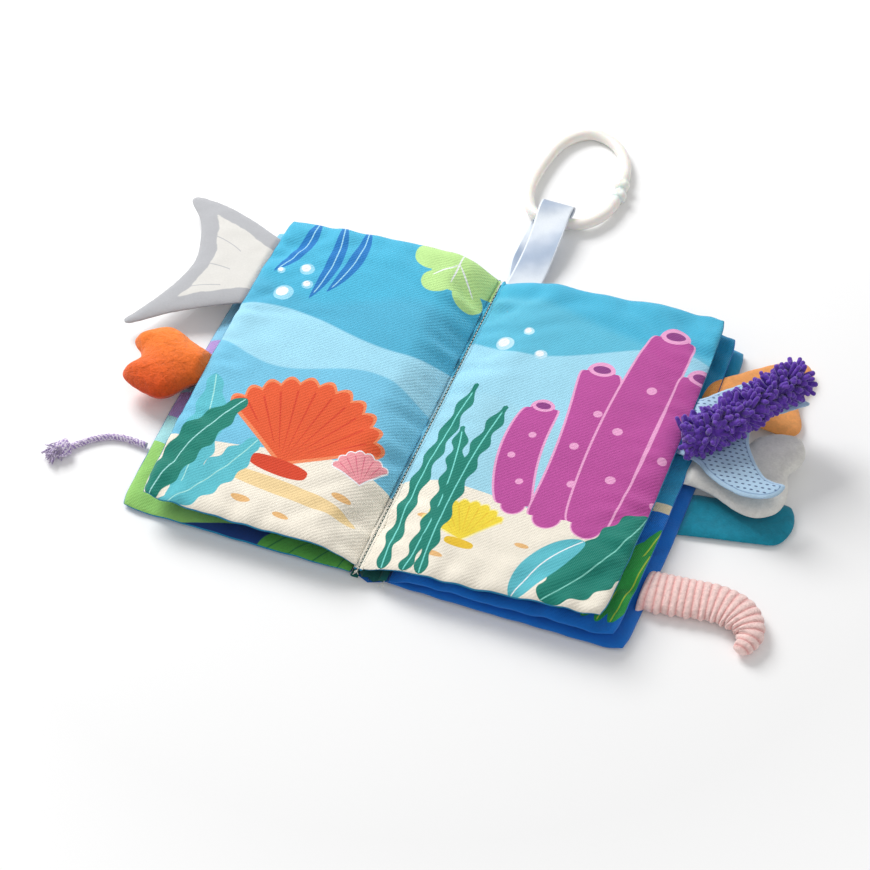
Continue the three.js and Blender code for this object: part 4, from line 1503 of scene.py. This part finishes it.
def add_corduroy_curl(sizes):
    """A tapering tail whose ribs run round it, with its seam drawn up below"""
    route = smoothed_route(in_metres(CURL_ROUTE))
    ribs = route.length / sizes.rib_pitch

    def radii(v, angle):
        close = math.sqrt(clamp01(1 - clamp01((v - 0.94) / 0.06) ** 2))
        wide = mix(13.5, 10.8, clamp01(v / 0.8)) * mix(1, 0.45, ease((v - 0.6) / 0.4)) * MM
        high = mix(3.4, 4.7, clamp01(v / 0.1)) * mix(1, 0.8, ease((v - 0.75) / 0.25)) * MM
        wave = abs(math.sin(math.pi * v * ribs)) ** 0.7
        seam = fade(math.cos(angle) - 1, 0.12)
        groove = (wave - 0.5) * 0.95 * MM
        pucker = seam * 0.8 * MM * math.sin(math.pi * v * ribs + 0.6)
        return (wide + groove + pucker) * close, (high + groove * 0.8) * close

    bm = swept_skin(route, 40, int(ribs * 10), radii)
    keep_off_ground(bm, CURL_GROUND_GAP)

    def ribbed(tree, place):
        """Painted shade: darker pink in the grooves between the ribs, and lighter pink on them"""
        _, along, _ = uv_position(tree)
        # Painted shade in the grooves and lighter pink on the ribs, in step with the ribs of the mesh
        wave = (along * (math.pi * ribs)).math("SINE").math("ABSOLUTE").math("POWER", 0.6)
        return mixed(tree, wave, "E39A96", "FBDAD4")

    material = pile_material("pink_corduroy", ribbed, 1000.0, 420.0, 0.8 * MM, 0.2, 0.5, strength=0.9)
    piece = finished_piece("corduroy_curl_ribs", bm, material)
    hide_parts("corduroy_curl_cover", "corduroy_curl_filling")
    start, end = in_metres(CURL_ROOT)
    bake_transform(piece)
    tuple(start)
    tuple(end)


class BOOK_OT_long_tails(bpy.types.Operator):
    """Makes the chenille arm and the corduroy curl"""

    bl_idname = "book.long_tails"
    bl_label = "Long tails"

    def execute(self, context):
        add_chenille_arm(context.scene.book_sizes)
        add_corduroy_curl(context.scene.book_sizes)
        return {"FINISHED"}


# Cord, ribbon and ring

CORD_ROUTE = [
    (-143.63, -70, 2.6), (-149, -69.4, 2.5), (-154, -69, 2.3), (-160, -69.2, 2.1), (-166, -70.8, 2),
    (-171, -73.6, 2), (-175.5, -77.2, 2), (-179.5, -81.4, 2.1), (-183, -86, 2.6),
]


CORD_STRANDS = 3
CORD_TURNS = 11.0
PATH_STEPS = 24
WRAP_STEPS = 40
WRAP_TURNS = 2.3
WRAP_REACH = (3.4, 2.7)
WRAP_LENGTH = 5.5
FRAYED_STRANDS = 110
STRAND_HEIGHTS = (0.6, 8.5)


def marled(tree, place):
    """Cotton strands of purple and white, twisted together"""
    around, along, _ = uv_position(tree)
    twist = (around * CORD_STRANDS + along * (2 * CORD_TURNS)).math("FRACT")
    fleck = (noise_field(tree, place, 1000.0) - 0.5) * 3.4
    return mixed(tree, (twist - 0.45 + fleck).inside(0.2), "E2D8E8", "9A80BA")


class BOOK_OT_cord(bpy.types.Operator):
    """Makes the twisted cord, its knot and its frayed end"""

    bl_idname = "book.cord"
    bl_label = "Cord"

    def execute(self, context):
        sizes = context.scene.book_sizes
        material = pile_material("marled_cord", marled, 1800.0, 700.0, 0.25 * MM, 0.15, 0.4, 0.95)
        route = smoothed_route(in_metres(CORD_ROUTE))
        radius = sizes.cord_diameter / 2

        def radii(v, angle):
            twisted = angle + CORD_TURNS * 2 * math.pi * v / CORD_STRANDS
            lobe = abs(math.cos(CORD_STRANDS / 2 * twisted))
            fluff = ripple_at(math.cos(angle) * 1.6, math.sin(angle) * 1.6, v * 70)
            reach = radius * (0.82 + 0.18 * lobe + 0.12 * fluff)
            return reach, reach

        skin = swept_skin(route, 24, 220, radii)
        keep_off_ground(skin, GROUND_GAP)
        cord = finished_piece("marled_cord", skin, material)
        knot = self.knot(route, radius, material)
        dressed(cord, "front_cover", "cord", "cord")
        dressed(knot, "front_cover", "cord", "cord_knot")
        path = [route(i / PATH_STEPS)[0] for i in range(PATH_STEPS + 1)]
        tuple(path[0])
        return {"FINISHED"}

    def knot(self, route, radius, material):
        """Two wraps of the cord drawn tight, and the loose strands past them"""
        end, heading = route(1)
        heading = Vector((heading.x, heading.y, 0)).normalized()
        level = heading.cross(UP)
        centre = end + heading * 3.6 * MM + UP * 1.6 * MM
        bm = bmesh.new()
        draw = random.Random(5)
        wraps = []
        wide, high = (reach * MM for reach in WRAP_REACH)
        for i in range(WRAP_STEPS):
            t = i / (WRAP_STEPS - 1)
            angle = t * 2 * math.pi * WRAP_TURNS
            around = level * (wide * math.cos(angle)) + UP * (high * math.sin(angle))
            wraps.append(centre + heading * ((t - 0.5) * WRAP_LENGTH * MM) + around)
        pour_in(bm, swept_skin(smoothed_route(wraps), 14, 160, lambda v, a: (radius * 0.95, radius * 0.95)))
        strands = Beads(5, 4)
        start = centre - heading * 1.0 * MM
        low, high = STRAND_HEIGHTS
        for _ in range(FRAYED_STRANDS):
            foot = start + level * (draw.uniform(-2.2, 2.2) * MM) + UP * (draw.uniform(-2, 2) * MM)
            tip = centre + heading * (draw.uniform(3, 11.5) * MM) + level * (draw.gauss(0, 2.8) * MM)
            tip.z = max(low * MM, centre.z + draw.gauss(-0.3, 1.7) * MM)
            last = foot
            for share in (0.25, 0.5, 0.75, 1.0):
                curl = Vector((draw.uniform(-1, 1), draw.uniform(-1, 1), draw.uniform(-0.8, 0.8)))
                point = foot.lerp(tip, share) + curl * 1.3 * MM
                point.z = min(max(point.z, low * MM), high * MM)
                strands.add(last, point, mix(0.55, 0.42, share) * MM)
                last = point
        strands.poured_into(bm)
        keep_off_ground(bm, GROUND_GAP)
        return finished_piece("knot_and_frayed_end", bm, material)


RIBBON_ROOT = (11, 116.0, 2.8)
RING_NEAR = (11, 177.6, 5.55)
RIBBON_OPEN = 4.25


def satin(tree, place):
    """Satin ribbon: pale blue-grey with soft painted highlights in bands along it, and a corded edge"""
    along, across, _ = uv_position(tree)
    wander = noise_field(tree, place, 60.0) * 2.5
    # Painted highlight: soft lighter bands along the ribbon, where satin would catch the light
    band = ((along * 19.0 + across * 1.6 + wander).math("SINE") * 0.5 + 0.5).math("POWER", 1.3)
    edge = ((across - 0.5).math("ABSOLUTE") - 0.455).inside(0.01)
    colour = mixed(tree, band, "93A5BE", "E2E9F1")
    return mixed(tree, edge, "E9EFF8", colour)


class BOOK_OT_ribbon(bpy.types.Operator):
    """Makes the satin hanging loop"""

    bl_idname = "book.ribbon"
    bl_label = "Ribbon loop"

    def execute(self, context):
        half = context.scene.book_sizes.ribbon_width / 2
        x, root_y, root_z = RIBBON_ROOT
        _, _, ring_z = RING_NEAR
        profile = [
            (0, root_z - 0.4), (12, 1.6), (30, 1.1), (50, ring_z - RIBBON_OPEN),
            (62, ring_z - RIBBON_OPEN), (68, 2.3), (72.3, 5.5), (72.8, 9.2), (70, 12.3), (65, 13.2),
            (58, 12.2), (44, 9.6), (28, 6.7), (12, 4.2), (0, root_z + 0.6),
        ]
        route = smoothed_route(in_metres([(x, root_y + s, z) for s, z in profile]))

        def place(u, v):
            point, direction = route(u)
            strand = ease(u / 0.2) * (1 - ease((u - 0.38) / 0.12))
            upper = math.sin(math.pi * clamp01((u - 0.58) / 0.42)) if u > 0.58 else 0.0
            curl = (0.5 * MM * math.sin(u * 19) + 1.5 * MM * upper) * (2 * v - 1)
            return point + Vector(((2 * v - 1) * half - 4.5 * MM * strand + 1.2 * MM * upper, 0, curl))

        material = cloth_material("satin_ribbon", satin, 0.5, 0.04, 0.05 * MM, 0.3, 0.42)
        material.node_tree.nodes["Principled BSDF"].inputs["Specular IOR Level"].default_value = 0.5
        piece = finished_piece("satin_loop", grid_skin(150, 16, place, weld=False), material)
        given_thickness(piece)
        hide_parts("ribbon_loop")
        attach(piece, "ribbon_loop")
        return {"FINISHED"}


RING_ROUTE = [
    (29, 44.2), (26, 62), (17, 77), (4, 84.5), (-8, 82), (-18, 68), (-22.5, 45), (-22.5, 22),
    (-17, 6.5), (-9, 0.4), (0, 0), (9, 0.4), (19, 4.5), (27, 17), (30, 34.9),
]
RING_SLOPE = 0.02
CLASP_RADIUS = 4.9


def ring_material():
    """Moulded plastic, nearly smooth, with fine scuffs"""
    material, tree, shader, place = new_material("ring_plastic", 0.32, 0.0, 0.2)
    shader.inputs["Specular IOR Level"].default_value = 0.5
    shader.inputs["Subsurface Weight"].default_value = 0.35
    shader.inputs["Subsurface Scale"].default_value = 4 * MM
    scuffs = noise_field(tree, place, 160.0, 5.0)
    colour = mixed(tree, scuffs, "EFECE3", "F8F6F0")
    tree.links.new(colour, shader.inputs["Base Color"])
    add_bump(tree, shader, scuffs, 0.15, 0.1 * MM)
    return material


class BOOK_OT_ring(bpy.types.Operator):
    """Makes the link ring with its clasp"""

    bl_idname = "book.ring"
    bl_label = "Link ring"

    def execute(self, context):
        x, y, z = RING_NEAR
        route = smoothed_route(in_metres([(x + a, y + b, z - RING_SLOPE * b) for a, b in RING_ROUTE]))
        wire = context.scene.book_sizes.ring_wire

        def radii(v, angle):
            near = min(v, 1 - v) * route.length
            swell = 1 + 0.1 * fade(near - 9 * MM, 3 * MM)
            return wire * swell, wire * swell

        bm = swept_skin(route, 24, 190, radii)
        for share, sign in ((0, 1), (1, -1)):
            point, heading = route(share)
            centre = Vector((point.x, point.y, (CLASP_RADIUS + 0.1) * MM))
            self.clasp_half(bm, centre, heading * sign)
        ring = finished_piece("link_ring_smooth", bm, ring_material())
        dressed(ring, "link_ring", "ring_plastic", "link_ring")
        return {"FINISHED"}

    def clasp_half(self, bm, centre, inward):
        """One boss of the clasp: a rounded button with a dished top, and a lip towards the other half"""
        radius = CLASP_RADIUS * MM
        made = bmesh.ops.create_uvsphere(bm, u_segments=32, v_segments=24, radius=radius)["verts"]
        for vert in made:
            level = Vector((vert.co.x, vert.co.y)).length / radius
            if vert.co.z > 0:
                vert.co.z -= 0.9 * MM * fade(level, 0.42)
        bmesh.ops.translate(bm, vec=centre, verts=made)
        foot, top, depth = (value * MM for value in (2.2, 1.9, 3))
        lip = bmesh.ops.create_cone(bm, cap_ends=True, segments=24, radius1=foot, radius2=top, depth=depth)
        turn = UP.rotation_difference(-inward).to_matrix().to_4x4()
        place = Matrix.Translation(centre - inward * 3.6 * MM + UP * 0.8 * MM)
        bmesh.ops.transform(bm, matrix=place @ turn, verts=lip["verts"])


# Stage

CAMERA_AZIMUTH = 20.3
CAMERA_ELEVATION = 48.0
CAMERA_DISTANCE = 1.370
CAMERA_TARGET = (0.0025, -0.005, 0.0)
CAMERA_LENS = 101.8
CAMERA_SENSOR = 36
LAMPS = (
    ("key", (-0.95, 0.7, 1.0), 0.8, 22.5),
    ("fill", (0.9, -0.9, 1.3), 1.4, 3.5),
)
WORLD_LIGHT = 0.44
FLOOR_SIZE = 4
FLOOR_COLOUR = (0.94, 0.94, 0.94, 1)
FLOOR_LIFT = 0.05
FLOOR_SHADOW_REACH = 0.27
FLOOR_RISE = 0.8


def seen_straight(tree):
    """1 for what the camera sees, also in a gloss or through glass, and 0 for what lights the object"""
    path = add_node(tree, "ShaderNodeLightPath")
    rays = ("Is Camera Ray", "Is Glossy Ray", "Is Transmission Ray")
    camera, glossy, through = (Field(tree, path.outputs[name]) for name in rays)
    return camera.math("MAXIMUM", glossy).math("MAXIMUM", through)


def aimed(place):
    """The turn of a lamp or a camera that looks back to the middle from a place"""
    return (-Vector(place)).to_track_quat("-Z", "Y").to_euler()


class BOOK_OT_stage(bpy.types.Operator):
    """Makes the camera, the white floor and the soft studio light"""

    bl_idname = "book.stage"
    bl_label = "Camera, floor and light"

    def execute(self, context):
        scene = context.scene
        scene.view_settings.view_transform = "Standard"
        azimuth, elevation = math.radians(CAMERA_AZIMUTH), math.radians(CAMERA_ELEVATION)
        level = math.cos(elevation)
        back = Vector((math.sin(azimuth) * level, -math.cos(azimuth) * level, math.sin(elevation)))
        data = bpy.data.cameras.new("camera")
        data.lens = CAMERA_LENS
        data.sensor_width = CAMERA_SENSOR
        data.clip_end = 20
        camera = bpy.data.objects.new("camera", data)
        camera.location = Vector(CAMERA_TARGET) + back * CAMERA_DISTANCE
        camera.rotation_euler = aimed(back)
        scene.collection.objects.link(camera)
        scene.camera = camera
        self.floor()
        for lamp in LAMPS:
            self.light(*lamp)
        world = scene.world or bpy.data.worlds.new("world")
        scene.world = world
        world.use_nodes = True
        tree = world.node_tree
        tree.nodes.clear()
        soft = add_node(tree, "ShaderNodeBackground", {"Color": (1, 1, 1, 1), "Strength": WORLD_LIGHT})
        white = add_node(tree, "ShaderNodeBackground", {"Color": (1, 1, 1, 1), "Strength": 1.0})
        seen = seen_straight(tree)
        both = add_node(tree, "ShaderNodeMixShader", {0: seen, 1: soft.outputs[0], 2: white.outputs[0]})
        add_node(tree, "ShaderNodeOutputWorld", {"Surface": both.outputs[0]})
        return {"FINISHED"}

    def floor(self):
        """A matt floor that keeps the shadow and shows whiter further away from the object"""
        bm = bmesh.new()
        bmesh.ops.create_grid(bm, x_segments=1, y_segments=1, size=FLOOR_SIZE)
        material = bpy.data.materials.new("white_floor")
        material.use_nodes = True
        tree = material.node_tree
        tree.nodes.clear()
        matt = add_node(tree, "ShaderNodeBsdfDiffuse", {"Color": FLOOR_COLOUR})
        place = add_node(tree, "ShaderNodeTexCoord").outputs["Object"]
        away = add_node(tree, "ShaderNodeVectorMath", {0: place}, operation="LENGTH")
        past_shadow = Field(tree, away.outputs["Value"]) - FLOOR_SHADOW_REACH
        strength = past_shadow.math("MULTIPLY", FLOOR_RISE, clamp=True) + FLOOR_LIFT
        glow = add_node(tree, "ShaderNodeEmission", {"Color": (1, 1, 1, 1), "Strength": strength})
        none = add_node(tree, "ShaderNodeEmission", {"Strength": 0.0})
        seen = seen_straight(tree)
        lift = add_node(tree, "ShaderNodeMixShader", {0: seen, 1: none.outputs[0], 2: glow.outputs[0]})
        total = add_node(tree, "ShaderNodeAddShader", {0: matt.outputs[0], 1: lift.outputs[0]})
        add_node(tree, "ShaderNodeOutputMaterial", {"Surface": total.outputs[0]})
        finished_piece("floor", bm, material)

    def light(self, name, place, size, power):
        data = bpy.data.lights.new(name, "AREA")
        data.size = size
        data.energy = power
        lamp = bpy.data.objects.new(name, data)
        lamp.location = place
        lamp.rotation_euler = aimed(place)
        bpy.context.scene.collection.objects.link(lamp)


class BOOK_PT_panel(bpy.types.Panel):
    bl_label = "Cloth Activity Book"
    bl_idname = "BOOK_PT_panel"
    bl_space_type = "VIEW_3D"
    bl_region_type = "UI"
    bl_category = "Cloth Book"

    def draw(self, context):
        for settings in (context.scene.book_sizes, context.scene.book_colours):
            column = self.layout.column(align=True)
            for name in settings.bl_rna.properties.keys():
                if name not in {"rna_type", "name"}:
                    column.prop(settings, name)
        for operator in OPERATORS:
            self.layout.operator(operator.bl_idname)


OPERATORS = (
    BOOK_OT_stage, BOOK_OT_cord, BOOK_OT_leaves, BOOK_OT_spine, BOOK_OT_flat_tails, BOOK_OT_long_tails,
    BOOK_OT_ring, BOOK_OT_ribbon,
)
CLASSES = (BookSizes, BookColours, *OPERATORS, BOOK_PT_panel)


def register():
    for item in CLASSES:
        bpy.utils.register_class(item)
    bpy.types.Scene.book_sizes = bpy.props.PointerProperty(type=BookSizes)
    bpy.types.Scene.book_colours = bpy.props.PointerProperty(type=BookColours)


def unregister():
    del bpy.types.Scene.book_colours
    del bpy.types.Scene.book_sizes
    for item in reversed(CLASSES):
        bpy.utils.unregister_class(item)


def main():
    register()
    bpy.ops.book.stage()
    bpy.ops.book.cord()
    bpy.ops.book.leaves()
    bpy.ops.book.spine()
    bpy.ops.book.flat_tails()
    bpy.ops.book.long_tails()
    bpy.ops.book.ring()
    bpy.ops.book.ribbon()


if __name__ == "__main__":
    main()
